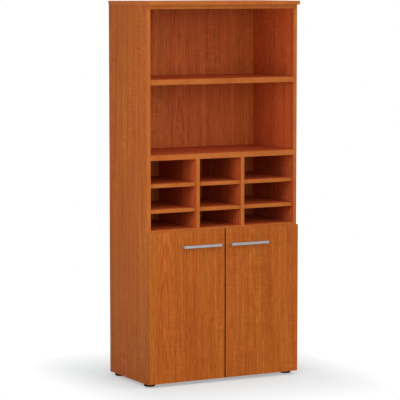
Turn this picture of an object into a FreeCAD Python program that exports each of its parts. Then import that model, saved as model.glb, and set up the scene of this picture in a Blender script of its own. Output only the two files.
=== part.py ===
import FreeCAD, Part
import math
import operator
import os
from types import SimpleNamespace

import Sketcher
from FreeCAD import Placement, Rotation, Vector

# A tall office cabinet: open bays on top, a pigeonhole sorter in the middle, a two-door cupboard below.
# Millimetres. +Z is up, the front faces -Y, and the origin is on the floor under the middle of the cabinet.

# Driving dimensions
SIZES = {
    # Whole cabinet, measured over the top panel
    "overall_width": 800,
    "overall_depth": 420,
    "overall_height": 1784,
    "top_overhang": 2,
    # Boards and edge bands
    "side_board": 18,
    "top_board": 18,
    "shelf_board": 25,
    "divider_board": 18,
    "small_board": 18,
    "door_board": 18,
    "back_board": 3.2,
    "edge_band": 2,
    "band_round": 1.2,
    # Back panel in its grooves
    "back_inset": 10,
    "groove_depth": 7,
    "groove_play": 0.2,
    "shelf_back_play": 1,
    # Loose shelves on pins
    "shelf_end_play": 0.5,
    "inner_shelf_setback": 20,
    # Pigeonholes: the right column and the bottom row take what is left
    "left_cell_width": 238,
    "middle_cell_width": 219,
    "top_cell_height": 108.5,
    "middle_cell_height": 100,
    "small_shelf_setback": 8,
    # Doors
    "door_gap": 2,
    "door_inset": 2,
    "door_middle_gap": 6,
    "door_top_reveal": 9,
    "door_bottom_reveal": 3.5,
    # Bow handle
    "handle_length": 200,
    "handle_height": 12,
    "handle_bar": 5,
    "handle_leg": 8,
    "handle_projection": 22,
    "handle_round": 4,
    "handle_inner_round": 2,
    "handle_edge_round": 0.8,
    "handle_from_middle": 26,
    "handle_drop": 73,
    "handle_screw_radius": 2,
    "handle_screw_bite": 10,
    "handle_screw_head_radius": 4,
    "handle_screw_head": 2.2,
    # Feet with levelling screws
    "foot_height": 14,
    "foot_radius": 26.5,
    "foot_round": 4.5,
    "foot_from_side": 32,
    "foot_from_front": 45,
    "foot_from_back": 49,
    "foot_screw_radius": 4,
    "foot_screw_seat": 6,
    "foot_screw_socket_radius": 2.9,
    "foot_screw_socket_depth": 5,
    "foot_sleeve_radius": 6,
    # Cam fittings, dowels and the places along the depth where they sit
    "fixing_from_front": 60,
    "fixing_from_back": 70,
    "dowel_from_cam": 32,
    "fixing_height": 9,
    "cam_radius": 7.4,
    "cam_height": 12.4,
    "cam_from_end": 34,
    "cam_mouth_radius": 3.6,
    "cam_mouth_past_middle": 3.5,
    "cam_slot_width": 1.6,
    "cam_slot_depth": 1.8,
    "bolt_thread_radius": 2.5,
    "bolt_thread": 11,
    "bolt_shaft_radius": 3.2,
    "bolt_neck_radius": 1.8,
    "bolt_head": 3,
    "dowel_radius": 4,
    "dowel_length": 30,
    "dowel_in_face": 11.5,
    "dowel_chamfer": 1,
    "hole_play": 0.1,
    "hole_spare": 0.3,
    # Screws that hold the top panel
    "top_screw_radius": 2,
    "top_screw_bite": 12,
    "top_screw_head_radius": 4,
    "top_screw_head": 2,
    "top_screw_from_side": 130,
    # Shelf pins
    "pin_hole_radius": 2.5,
    "pin_hole_depth": 7.4,
    "pin_stub_radius": 3.5,
    "pin_stub": 8,
    "pin_from_front": 45,
    "pin_from_back": 45,
    # Concealed cup hinges: places
    "hinge_from_door_end": 100,
    "hinge_pin_from_edge": 6.8,
    "hinge_pin_in_door": 10.5,
    # Hinge cup
    "cup_radius": 17.5,
    "cup_from_edge": 3,
    "cup_depth": 13.4,
    "cup_wall": 1,
    "cup_floor": 0.6,
    "cup_flange": 1,
    "cup_flange_outward": 3,
    "cup_flange_inward": 16,
    "cup_flange_half_length": 28,
    "cup_flange_round": 5,
    "cup_screw_inward": 9.5,
    "cup_screw_half_spread": 22.5,
    "cup_screw_radius": 1.7,
    "cup_screw_bite": 12,
    "cup_screw_head_radius": 3,
    "cup_screw_head": 1.5,
    "cup_lug": 3,
    "cup_lug_reach": 2.2,
    # Hinge pin and arm
    "hinge_pin_radius": 1,
    "hinge_pin_fit": 0.05,
    "eye_radius": 1.9,
    "eye_half_width": 3.5,
    "lug_play": 0.4,
    "neck_reach": 12.3,
    "neck_metal": 2.4,
    "arm_front": 3,
    "arm_end": 58,
    "arm_half_width": 6.6,
    "arm_metal": 1.8,
    "arm_from_side": 2.4,
    "arm_round": 1.5,
    # Hinge mounting plate
    "plate_bar_height": 8,
    "plate_bar_half_width": 4.5,
    "plate_bar_start": 20,
    "plate_bar_end": 56,
    "plate_wing": 2,
    "plate_wing_half_length": 24,
    "plate_wing_half_width": 6,
    "plate_wing_round": 5,
    "plate_screw_line": 37,
    "plate_screw_half_spread": 16,
    "plate_screw_radius": 2,
    "plate_screw_bite": 12,
    "plate_screw_head_radius": 3.6,
    "plate_screw_head": 1.8,
    # Soft bumpers on the doors
    "bumper_radius": 4,
    "bumper_clearance": 0.2,
    "bumper_from_middle": 40,
    # One overrun for cuts that go right through
    "overrun": 1,
}
FULL_TURN = 360
HALF_TURN = 180
HEXAGON_SIDES = 6
BAY_COUNT = 5
SHELF_COUNT = 4
# How near two lengths must be when an edge is picked by its place
CLOSE_ENOUGH = 1e-4

# Arithmetic on named sizes gives the text of a bound expression together with its value
SIGNS = {"+": operator.add, "-": operator.sub, "*": operator.mul, "/": operator.truediv}


class Size:
    """A length: the expression that the document keeps, and its value for the first draft of a sketch."""

    def __init__(self, text, value):
        self.text = text
        self.value = value

    def __add__(self, other):
        return combined(self, "+", other)

    def __sub__(self, other):
        return combined(self, "-", other)

    def __mul__(self, other):
        return combined(self, "*", other)

    def __truediv__(self, other):
        return combined(self, "/", other)

    def __neg__(self):
        return combined(ZERO, "-", self)


def combined(left, sign, right):
    if not isinstance(right, Size):
        right = Size(str(right), right)
    return Size(f"({left.text} {sign} {right.text})", SIGNS[sign](left.value, right.value))


ZERO = Size("0", 0)
dim = SimpleNamespace(**{name: Size(f"sizes.{name}", value) for name, value in SIZES.items()})

doc = FreeCAD.newDocument("sorting_shelf")
sheet = doc.addObject("Spreadsheet::Sheet", "sizes")
for row, (name, length) in enumerate(SIZES.items(), start=1):
    sheet.set(f"A{row}", name)
    sheet.set(f"B{row}", str(length))
    sheet.setAlias(f"B{row}", name)
doc.recompute()

# Turns of a board: which way its padded face looks
FACE_UP = Rotation()
FACE_DOWN = Rotation(Vector(1, 0, 0), HALF_TURN)
FACE_FRONT = Rotation(Vector(1, 0, 0), HALF_TURN / 2)
FACE_RIGHT = Rotation(Vector(1, 1, 1), FULL_TURN / 3)
FACE_LEFT = Rotation(Vector(0, 0, 1), HALF_TURN).multiply(FACE_RIGHT)
# Turns of a round piece made along +Z
POINT_LEFT = Rotation(Vector(0, 0, 1), Vector(-1, 0, 0))
POINT_RIGHT = Rotation(Vector(0, 0, 1), Vector(1, 0, 0))
POINT_FRONT = Rotation(Vector(0, 0, 1), Vector(0, -1, 0))
# Half a turn about Y makes a left-hand hinge a right-hand one, because a hinge is alike above and below
SIDES = {
    "left": SimpleNamespace(hand=-1, turn=Rotation(), point_out=POINT_LEFT),
    "right": SimpleNamespace(hand=1, turn=Rotation(Vector(0, 1, 0), HALF_TURN), point_out=POINT_RIGHT),
}
HINGE_ENDS = ("lower", "upper")

# Main planes of the cabinet
back_y = (dim.overall_depth - dim.top_overhang + dim.handle_projection) / 2
top_front_y = back_y - dim.overall_depth
door_front_y = top_front_y + dim.top_overhang
door_back_y = door_front_y + dim.door_board
front_y = door_back_y + dim.door_gap
core_front_y = front_y + dim.edge_band
back_face_y = back_y - dim.back_inset - dim.back_board
shelf_back_y = back_face_y - dim.shelf_back_play
outer_x = dim.overall_width / 2 - dim.top_overhang
inner_x = outer_x - dim.side_board

# Levels, from the floor up
bottom_z = dim.foot_height
bottom_top_z = bottom_z + dim.shelf_board
top_z = dim.overall_height - dim.top_board
carcass_top_z = top_z - dim.top_board
bay_height = (carcass_top_z - bottom_top_z - dim.shelf_board * SHELF_COUNT) / BAY_COUNT
upper_shelf_z = carcass_top_z - bay_height - dim.shelf_board
roof_z = upper_shelf_z - bay_height - dim.shelf_board
floor_z = roof_z - bay_height - dim.shelf_board
inner_shelf_z = floor_z - bay_height - dim.shelf_board
floor_top_z = floor_z + dim.shelf_board
row_z = {"upper": roof_z - dim.top_cell_height - dim.small_board}
row_z["lower"] = row_z["upper"] - dim.middle_cell_height - dim.small_board

# Pigeonhole columns, from the left
divider_x = {"left": dim.left_cell_width - inner_x}
divider_x["right"] = divider_x["left"] + dim.divider_board + dim.middle_cell_width
columns = {
    "left": (-inner_x, divider_x["left"]),
    "middle": (divider_x["left"] + dim.divider_board, divider_x["right"]),
    "right": (divider_x["right"] + dim.divider_board, inner_x),
}

# Doors and hinge axis
door_top_z = floor_top_z - dim.door_top_reveal
door_z = bottom_z + dim.door_bottom_reveal
door_height = door_top_z - door_z
door_outer_x = outer_x - dim.door_inset
door_inner_x = dim.door_middle_gap / 2
door_width = door_outer_x - door_inner_x
hinge_z = {"lower": door_z + dim.hinge_from_door_end, "upper": door_top_z - dim.hinge_from_door_end}
# Places in a hinge's own frame: x from the side's inner face, y from the cabinet's front plane
hinge_pin_x = dim.door_inset + dim.hinge_pin_from_edge - dim.side_board
hinge_pin_y = -(dim.door_gap + dim.hinge_pin_in_door)
cup_x = dim.door_inset + dim.cup_from_edge + dim.cup_radius - dim.side_board

# Depths at which fixings and pins sit, from the cabinet's front plane
shelf_depth = shelf_back_y - front_y
cam_depths = (dim.fixing_from_front, shelf_depth - dim.fixing_from_back)
dowel_depths = (cam_depths[0] + dim.dowel_from_cam, cam_depths[1] - dim.dowel_from_cam)
pin_depths = (dim.pin_from_front, shelf_depth - dim.pin_from_back)
dowel_in_end = dim.dowel_length - dim.dowel_in_face
fixed_boards = (carcass_top_z, roof_z, floor_z, bottom_z)
loose_shelves = (upper_shelf_z, inner_shelf_z)

NODES = []
CUTS = []


def bind(thing, name, size):
    thing.setExpression(name, size.text)


def set_place(thing, turn, x, y, z):
    thing.Placement = Placement(Vector(x.value, y.value, z.value), turn)
    bind(thing, "Placement.Base.x", x)
    bind(thing, "Placement.Base.y", y)
    bind(thing, "Placement.Base.z", z)


def new_body(label):
    body = doc.addObject("PartDesign::Body", label)
    body.Label = label
    return body


def sketch_on(body, role, level=ZERO):
    """An empty sketch on one of the body's own planes, lifted off it by a level."""
    sketch = body.newObject("Sketcher::SketchObject", body.Label + "_sketch")
    plane = next(item for item in body.Origin.OriginFeatures if item.Role == role)
    sketch.AttachmentSupport = [(plane, "")]
    sketch.MapMode = "FlatFace"
    bind(sketch, "AttachmentOffset.Base.z", level)
    return sketch


def constrain(sketch, constraints):
    """Adds (constraint, size) pairs and binds each one that has a size."""
    first = sketch.ConstraintCount
    sketch.addConstraint([constraint for constraint, size in constraints])
    for index, (constraint, size) in enumerate(constraints, start=first):
        if size is not None:
            bind(sketch, f"Constraints[{index}]", size)


def held_point(geometry, point, x, y):
    """Both distances of a point from the sketch's origin."""
    return [
        (Sketcher.Constraint("DistanceX", -1, 1, geometry, point, x.value), x),
        (Sketcher.Constraint("DistanceY", -1, 1, geometry, point, y.value), y),
    ]


def outline(sketch, points):
    """A closed outline of straight lines, each corner held by its two sizes."""
    corners = [Vector(x.value, y.value, 0) for x, y in points]
    first = sketch.GeometryCount
    sketch.addGeometry([Part.LineSegment(corners[i - 1], corners[i]) for i in range(len(corners))], False)
    constraints = []
    for i, (x, y) in enumerate(points):
        following = (i + 1) % len(points)
        constraints.append((Sketcher.Constraint("Coincident", first + i, 2, first + following, 1), None))
        constraints += held_point(first + i, 2, x, y)
    constrain(sketch, constraints)
    return sketch


def rectangle(x_low, y_low, x_high, y_high):
    return [(x_low, y_low), (x_high, y_low), (x_high, y_high), (x_low, y_high)]


def hexagon(radius):
    """Corners of a hexagon about the origin; the radius goes out to a corner."""
    turns = [math.radians(FULL_TURN * i / HEXAGON_SIDES) for i in range(HEXAGON_SIDES)]
    return [(radius * math.cos(turn), radius * math.sin(turn)) for turn in turns]


def circles(sketch, places, radius):
    for x, y in places:
        ring = Part.Circle(Vector(x.value, y.value, 0), Vector(0, 0, 1), radius.value)
        index = sketch.addGeometry(ring, False)
        size = (Sketcher.Constraint("Radius", index, radius.value), radius)
        constrain(sketch, held_point(index, 3, x, y) + [size])
    return sketch


def pad(body, sketch, length):
    feature = body.newObject("PartDesign::Pad", body.Label + "_pad")
    feature.Profile = sketch
    bind(feature, "Length", length)
    return feature


def cut(body, sketch, depth, flip=False):
    """A pocket. Its direction is tested at the end: it has to take something away."""
    before = body.Tip
    feature = body.newObject("PartDesign::Pocket", body.Label + "_cut")
    feature.Profile = sketch
    feature.Reversed = flip
    bind(feature, "Length", depth)
    CUTS.append((feature, before))
    return feature


def rounded(body, radius, chosen):
    """Rounds the edges of the finished shape for which chosen(edge) is true."""
    doc.recompute()
    base = body.Tip
    names = [f"Edge{i}" for i, edge in enumerate(base.Shape.Edges, start=1) if chosen(edge)]
    feature = body.newObject("PartDesign::Fillet", body.Label + "_round")
    feature.Base = (base, names)
    bind(feature, "Radius", radius)
    return feature


def runs_along(edge, axis):
    """True for a straight edge parallel to an axis, given as a unit vector."""
    span = edge.Vertexes[-1].Point.sub(edge.Vertexes[0].Point)
    return span.Length > CLOSE_ENOUGH and same(abs(span.dot(axis)), span.Length)


def same(first, second):
    return abs(first - second) < CLOSE_ENOUGH


def board(label, across, along, thick, turn, corner):
    body = new_body(label)
    pad(body, outline(sketch_on(body, "XY_Plane"), rectangle(ZERO, ZERO, across, along)), thick)
    set_place(body, turn, *corner)
    return body


def band(label, across, along, turn, corner):
    """An edge band: a thin strip whose two long outer edges are rounded."""
    body = board(label, across, along, dim.edge_band, turn, corner)
    axis = Vector(1, 0, 0) if across.value > along.value else Vector(0, 1, 0)

    def outer(edge):
        return runs_along(edge, axis) and same(edge.CenterOfMass.z, dim.edge_band.value)

    rounded(body, dim.band_round, outer)
    return body


def turned(label, profile):
    """A round piece: a profile of (radius, height) points spun about its own Z axis."""
    body = new_body(label)
    sketch = outline(sketch_on(body, "XZ_Plane"), profile)
    spin = body.newObject("PartDesign::Revolution", label + "_spin")
    spin.Profile = sketch
    spin.ReferenceAxis = (sketch, ["V_Axis"])
    spin.Angle = FULL_TURN
    return body


def drill(body, role, places, radius, depth, level=ZERO, flip=False):
    return cut(body, circles(sketch_on(body, role, level), places, radius), depth, flip)


def bore_for(body, role, places, radius, depth, level=ZERO, flip=False):
    """Holes for pieces of a radius and depth, with the play and the spare depth that such holes have."""
    return drill(body, role, places, radius + dim.hole_play, depth + dim.hole_spare, level, flip)


def node(thing):
    NODES.append(thing)
    return thing


def group_node(label, bodies):
    """Several pieces made apart that share one node."""
    group = doc.addObject("Part::Compound", label)
    group.Label = label
    group.Links = bodies
    return node(group)


def repeated_node(label, master, places):
    """One node that holds the same piece, as a separate solid, at every place (turn, x, y, z)."""
    links = []
    for index, place in enumerate(places, start=1):
        link = doc.addObject("App::Link", f"{label}_{index}")
        link.LinkedObject = master
        set_place(link, *place)
        links.append(link)
    return group_node(label, links)


# Side panels

def side_panel(name):
    """A side with the back groove and every hole that its inner face holds."""
    is_left = name == "left"
    height = top_z - bottom_z
    depth = back_y - core_front_y
    x = -outer_x if is_left else inner_x
    body = board(f"{name}_side", depth, height, dim.side_board, FACE_RIGHT, (x, core_front_y, bottom_z))
    level = dim.side_board if is_left else ZERO
    flip = not is_left
    groove_start = back_face_y - dim.groove_play - core_front_y
    groove_end = groove_start + dim.back_board + dim.groove_play * 2
    groove = outline(sketch_on(body, "XY_Plane", level), rectangle(groove_start, ZERO, groove_end, height))
    cut(body, groove, dim.groove_depth, flip)

    def on_face(depths, levels):
        return [(y - dim.edge_band, z - bottom_z) for z in levels for y in depths]

    fixing_levels = [z + dim.fixing_height for z in fixed_boards]
    bolts = on_face(cam_depths, fixing_levels)
    bore_for(body, "XY_Plane", bolts, dim.bolt_thread_radius, dim.bolt_thread, level, flip)
    dowels = on_face(dowel_depths, fixing_levels)
    bore_for(body, "XY_Plane", dowels, dim.dowel_radius, dim.dowel_in_face, level, flip)
    pins = on_face(pin_depths, [z - dim.pin_stub_radius for z in (*loose_shelves, *row_z.values())])
    bore_for(body, "XY_Plane", pins, dim.pin_hole_radius, dim.pin_hole_depth, level, flip)
    spread = dim.plate_screw_half_spread
    screw_levels = [z + offset for z in hinge_z.values() for offset in (spread, -spread)]
    screws = on_face((dim.plate_screw_line,), screw_levels)
    bore_for(body, "XY_Plane", screws, dim.plate_screw_radius, dim.plate_screw_bite, level, flip)
    return node(body)


for name in SIDES:
    side_panel(name)

side_bands = []
for name, x in (("left", -outer_x), ("right", inner_x)):
    corner = (x, core_front_y, bottom_z)
    side_bands.append(band(f"{name}_side_band", dim.side_board, top_z - bottom_z, FACE_FRONT, corner))
group_node("side_edge_bands", side_bands)

# Boards that are fixed between the sides with cams and dowels

def fixed_board(label, z, thick, back):
    """A lying board with cam bores below and bolt and dowel holes in both ends."""
    width = inner_x * 2
    depth = back - core_front_y
    body = board(label, width, depth, thick, FACE_UP, (-inner_x, core_front_y, z))
    cams = [(x, y - dim.edge_band) for x in (dim.cam_from_end, width - dim.cam_from_end) for y in cam_depths]
    bore_for(body, "XY_Plane", cams, dim.cam_radius, dim.cam_height, flip=True)
    for level, flip in ((ZERO, True), (width, False)):
        bolts = [(y - dim.edge_band, dim.fixing_height) for y in cam_depths]
        drill(body, "YZ_Plane", bolts, dim.cam_mouth_radius, dim.cam_from_end, level, flip)
        dowels = [(y - dim.edge_band, dim.fixing_height) for y in dowel_depths]
        bore_for(body, "YZ_Plane", dowels, dim.dowel_radius, dowel_in_end, level, flip)
    return node(body)


def back_groove(body, level, flip):
    start = back_face_y - dim.groove_play - core_front_y
    end = start + dim.back_board + dim.groove_play * 2
    sketch = outline(sketch_on(body, "XY_Plane", level), rectangle(ZERO, start, inner_x * 2, end))
    cut(body, sketch, dim.groove_depth, flip)


def divider_dowel_places():
    middles = [x + dim.divider_board / 2 + inner_x for x in divider_x.values()]
    return [(x, y - dim.edge_band) for x in middles for y in cam_depths]


carcass_top = fixed_board("carcass_top", carcass_top_z, dim.top_board, back_y)
back_groove(carcass_top, ZERO, True)
top_screw_x = (dim.top_screw_from_side, inner_x, inner_x * 2 - dim.top_screw_from_side)
top_screw_places = [(x, y - dim.edge_band) for x in top_screw_x for y in dowel_depths]
bore_for(carcass_top, "XY_Plane", top_screw_places, dim.top_screw_radius, dim.top_board, flip=True)

roof = fixed_board("pigeonhole_roof", roof_z, dim.shelf_board, shelf_back_y)
bore_for(roof, "XY_Plane", divider_dowel_places(), dim.dowel_radius, dim.dowel_in_face, flip=True)

floor = fixed_board("pigeonhole_floor", floor_z, dim.shelf_board, shelf_back_y)
bore_for(floor, "XY_Plane", divider_dowel_places(), dim.dowel_radius, dim.dowel_in_face, dim.shelf_board)

bottom = fixed_board("bottom_panel", bottom_z, dim.shelf_board, back_y)
back_groove(bottom, dim.shelf_board, False)
foot_x = outer_x - dim.foot_from_side
foot_y = {"front": front_y + dim.foot_from_front, "rear": back_y - dim.foot_from_back}
foot_places = {}
for depth_name, y in foot_y.items():
    for name, view in SIDES.items():
        foot_places[f"foot_{depth_name}_{name}"] = (foot_x * view.hand, y)
sleeve_places = [(inner_x + x, y - core_front_y) for x, y in foot_places.values()]
bore_for(bottom, "XY_Plane", sleeve_places, dim.foot_sleeve_radius, dim.shelf_board, flip=True)

# Top panel, back panel and loose shelves

half_top = dim.overall_width / 2
top_side = dim.overall_depth - dim.edge_band
top_corner = (dim.edge_band - half_top, top_front_y + dim.edge_band, top_z)
top_width = dim.overall_width - dim.edge_band * 2
top_panel = node(board("top_panel", top_width, top_side, dim.top_board, FACE_UP, top_corner))
top_shift_x = half_top - dim.edge_band - inner_x
top_shift_y = core_front_y - top_front_y - dim.edge_band
top_pilots = [(x + top_shift_x, y + top_shift_y) for x, y in top_screw_places]
bore_for(top_panel, "XY_Plane", top_pilots, dim.top_screw_radius, dim.top_screw_bite, flip=True)
group_node("top_edge_bands", [
    band("top_front_band", dim.overall_width, dim.top_board, FACE_FRONT,
         (-half_top, top_front_y + dim.edge_band, top_z)),
    band("top_left_band", top_side, dim.top_board, FACE_LEFT, (dim.edge_band - half_top, back_y, top_z)),
    band("top_right_band", top_side, dim.top_board, FACE_RIGHT,
         (half_top - dim.edge_band, top_front_y + dim.edge_band, top_z)),
])

tongue = dim.groove_depth - dim.shelf_end_play
back_height = carcass_top_z - bottom_top_z + tongue * 2
back_corner = (-(inner_x + tongue), back_face_y + dim.back_board, bottom_top_z - tongue)
node(board("back_panel", (inner_x + tongue) * 2, back_height, dim.back_board, FACE_FRONT, back_corner))


def loose_shelf(label, x_low, x_high, z, thick, setback):
    """A shelf that lies on pins, with a little play at its ends."""
    start = core_front_y + setback
    width = x_high - x_low - dim.shelf_end_play * 2
    corner = (x_low + dim.shelf_end_play, start, z)
    node(board(label, width, shelf_back_y - start, thick, FACE_UP, corner))
    return band(label + "_band", width, thick, FACE_FRONT, corner)


inner_setback = dim.inner_shelf_setback
shelf_bands = [
    loose_shelf("upper_shelf", -inner_x, inner_x, upper_shelf_z, dim.shelf_board, ZERO),
    loose_shelf("cupboard_shelf", -inner_x, inner_x, inner_shelf_z, dim.shelf_board, inner_setback),
]
for label, z, thick in (
    ("carcass_top", carcass_top_z, dim.top_board),
    ("pigeonhole_roof", roof_z, dim.shelf_board),
    ("pigeonhole_floor", floor_z, dim.shelf_board),
    ("bottom_panel", bottom_z, dim.shelf_board),
):
    shelf_bands.append(band(label + "_band", inner_x * 2, thick, FACE_FRONT, (-inner_x, core_front_y, z)))
group_node("shelf_edge_bands", shelf_bands)

# Pigeonholes: two dividers and six small shelves

def divider(name):
    """An upright board with dowel holes in its ends and pin holes in both faces."""
    x = divider_x[name]
    height = roof_z - floor_top_z
    depth = shelf_back_y - core_front_y
    corner = (x, core_front_y, floor_top_z)
    body = board(f"{name}_divider", depth, height, dim.divider_board, FACE_RIGHT, corner)
    dowels = [(y - dim.edge_band, dim.divider_board / 2) for y in cam_depths]
    bore_for(body, "XZ_Plane", dowels, dim.dowel_radius, dowel_in_end)
    bore_for(body, "XZ_Plane", dowels, dim.dowel_radius, dowel_in_end, -height, True)
    pin_levels = [z - dim.pin_stub_radius - floor_top_z for z in row_z.values()]
    pins = [(y - dim.edge_band, z) for y in pin_depths for z in pin_levels]
    bore_for(body, "XY_Plane", pins, dim.pin_hole_radius, dim.pin_hole_depth, flip=True)
    bore_for(body, "XY_Plane", pins, dim.pin_hole_radius, dim.pin_hole_depth, dim.divider_board)
    node(body)
    return band(f"{name}_divider_band", dim.divider_board, height, FACE_FRONT, corner)


pigeonhole_bands = [divider(name) for name in divider_x]
for column, (x_low, x_high) in columns.items():
    for row, z in row_z.items():
        label = f"pigeonhole_shelf_{row}_{column}"
        setback = dim.small_shelf_setback
        pigeonhole_bands.append(loose_shelf(label, x_low, x_high, z, dim.small_board, setback))
group_node("pigeonhole_edge_bands", pigeonhole_bands)

# Cam fittings, dowels, screws of the top and shelf pins

def cam_disc():
    """A cam with the mouth that takes the bolt's head and a cross slot in its lower face."""
    body = new_body("cam_disc")
    pad(body, circles(sketch_on(body, "XY_Plane"), [(ZERO, ZERO)], dim.cam_radius), dim.cam_height)
    start = dim.cam_radius + dim.overrun
    reach = start + dim.cam_mouth_past_middle
    drill(body, "YZ_Plane", [(ZERO, dim.fixing_height)], dim.cam_mouth_radius, reach, -start, True)
    half_length = dim.cam_radius / 2
    half_slot = dim.cam_slot_width / 2
    for x, y in ((half_length, half_slot), (half_slot, half_length)):
        cut(body, outline(sketch_on(body, "XY_Plane"), rectangle(-x, -y, x, y)), dim.cam_slot_depth, True)
    return body


shaft_end = dim.bolt_thread + dim.cam_from_end - dim.cam_radius
head_start = dim.bolt_thread + dim.cam_from_end - dim.bolt_head / 2
cam_bolt = turned("cam_bolt", [
    (ZERO, ZERO),
    (dim.bolt_thread_radius, ZERO),
    (dim.bolt_thread_radius, dim.bolt_thread),
    (dim.bolt_shaft_radius, dim.bolt_thread),
    (dim.bolt_shaft_radius, shaft_end),
    (dim.bolt_neck_radius, shaft_end),
    (dim.bolt_neck_radius, head_start),
    (dim.bolt_shaft_radius, head_start),
    (dim.bolt_shaft_radius, head_start + dim.bolt_head),
    (ZERO, head_start + dim.bolt_head),
])
narrow = dim.dowel_radius - dim.dowel_chamfer
dowel = turned("dowel", [
    (ZERO, ZERO),
    (narrow, ZERO),
    (dim.dowel_radius, dim.dowel_chamfer),
    (dim.dowel_radius, dim.dowel_length - dim.dowel_chamfer),
    (narrow, dim.dowel_length),
    (ZERO, dim.dowel_length),
])
shelf_pin = turned("shelf_pin", [
    (ZERO, ZERO),
    (dim.pin_stub_radius, ZERO),
    (dim.pin_stub_radius, dim.pin_stub),
    (dim.pin_hole_radius, dim.pin_stub),
    (dim.pin_hole_radius, dim.pin_stub + dim.pin_hole_depth),
    (ZERO, dim.pin_stub + dim.pin_hole_depth),
])


def screw(label, radius, length, head_radius, head):
    """A plain pan-head screw, its head's top on the ground and its point up."""
    return turned(label, [
        (ZERO, ZERO),
        (head_radius, ZERO),
        (head_radius, head),
        (radius, head),
        (radius, head + length),
        (ZERO, head + length),
    ])


cams, bolts, dowels = [], [], []
for name, view in SIDES.items():
    point_in = POINT_RIGHT if name == "left" else POINT_LEFT
    mouth_turn = Rotation(Vector(0, 0, 1), HALF_TURN if name == "right" else 0)
    for z in fixed_boards:
        level = z + dim.fixing_height
        for depth in cam_depths:
            cams.append((mouth_turn, (inner_x - dim.cam_from_end) * view.hand, front_y + depth, z))
            bolts.append((point_in, (inner_x + dim.bolt_thread) * view.hand, front_y + depth, level))
        for depth in dowel_depths:
            dowels.append((point_in, (inner_x + dim.dowel_in_face) * view.hand, front_y + depth, level))
for x in divider_x.values():
    for depth in cam_depths:
        for z in (roof_z + dim.dowel_in_face - dim.dowel_length, floor_top_z - dim.dowel_in_face):
            dowels.append((FACE_UP, x + dim.divider_board / 2, front_y + depth, z))
repeated_node("cam_discs", cam_disc(), cams)
repeated_node("cam_bolts", cam_bolt, bolts)
repeated_node("dowels", dowel, dowels)

top_screw = screw("top_screw", dim.top_screw_radius, dim.top_board + dim.top_screw_bite,
                  dim.top_screw_head_radius, dim.top_screw_head)
top_screw_z = carcass_top_z - dim.top_screw_head
repeated_node("top_screws", top_screw, [
    (FACE_UP, x - inner_x, y + core_front_y, top_screw_z) for x, y in top_screw_places])


def pin_places(x_low, x_high, levels):
    """Pins that point into the walls at both ends of a shelf."""
    places = []
    for z in levels:
        for depth in pin_depths:
            y = front_y + depth
            places.append((POINT_LEFT, x_low + dim.pin_stub, y, z - dim.pin_stub_radius))
            places.append((POINT_RIGHT, x_high - dim.pin_stub, y, z - dim.pin_stub_radius))
    return places


repeated_node("shelf_pins", shelf_pin, pin_places(-inner_x, inner_x, loose_shelves))
small_pins = []
for x_low, x_high in columns.values():
    small_pins += pin_places(x_low, x_high, row_z.values())
repeated_node("pigeonhole_pins", shelf_pin, small_pins)

# Feet with levelling screws

def foot(label, x, y):
    body = turned(label, rectangle(ZERO, ZERO, dim.foot_radius, dim.foot_height))
    seat_radius = dim.foot_screw_radius + dim.hole_play
    drill(body, "XY_Plane", [(ZERO, ZERO)], seat_radius, dim.foot_screw_seat, dim.foot_height)

    def rim(edge):
        return same(edge.BoundBox.ZMax, 0) and edge.Length > dim.foot_radius.value

    rounded(body, dim.foot_round, rim)
    set_place(body, FACE_UP, x, y, ZERO)
    return node(body)


for label, (x, y) in foot_places.items():
    foot(label, x, y)
foot_screw_z = dim.foot_height - dim.foot_screw_seat
foot_screw_length = bottom_top_z - foot_screw_z
foot_screw = turned("foot_screw", rectangle(ZERO, ZERO, dim.foot_screw_radius, foot_screw_length))
socket = outline(sketch_on(foot_screw, "XY_Plane", foot_screw_length), hexagon(dim.foot_screw_socket_radius))
cut(foot_screw, socket, dim.foot_screw_socket_depth)
sleeve_bore = dim.foot_screw_radius + dim.hole_play
foot_sleeve = turned("foot_sleeve", rectangle(sleeve_bore, ZERO, dim.foot_sleeve_radius, dim.shelf_board))
repeated_node("foot_screws", foot_screw, [(FACE_UP, x, y, foot_screw_z) for x, y in foot_places.values()])
repeated_node("foot_sleeves", foot_sleeve, [(FACE_UP, x, y, bottom_z) for x, y in foot_places.values()])

# Concealed hinges: plate and arm on the cabinet, cup and pin on the door

def upright_slab(body, outline_points, half_width):
    """A pad of an outline in plan, the same distance above and below the hinge's middle."""
    return pad(body, outline(sketch_on(body, "XY_Plane", -half_width), outline_points), half_width * 2)


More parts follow.
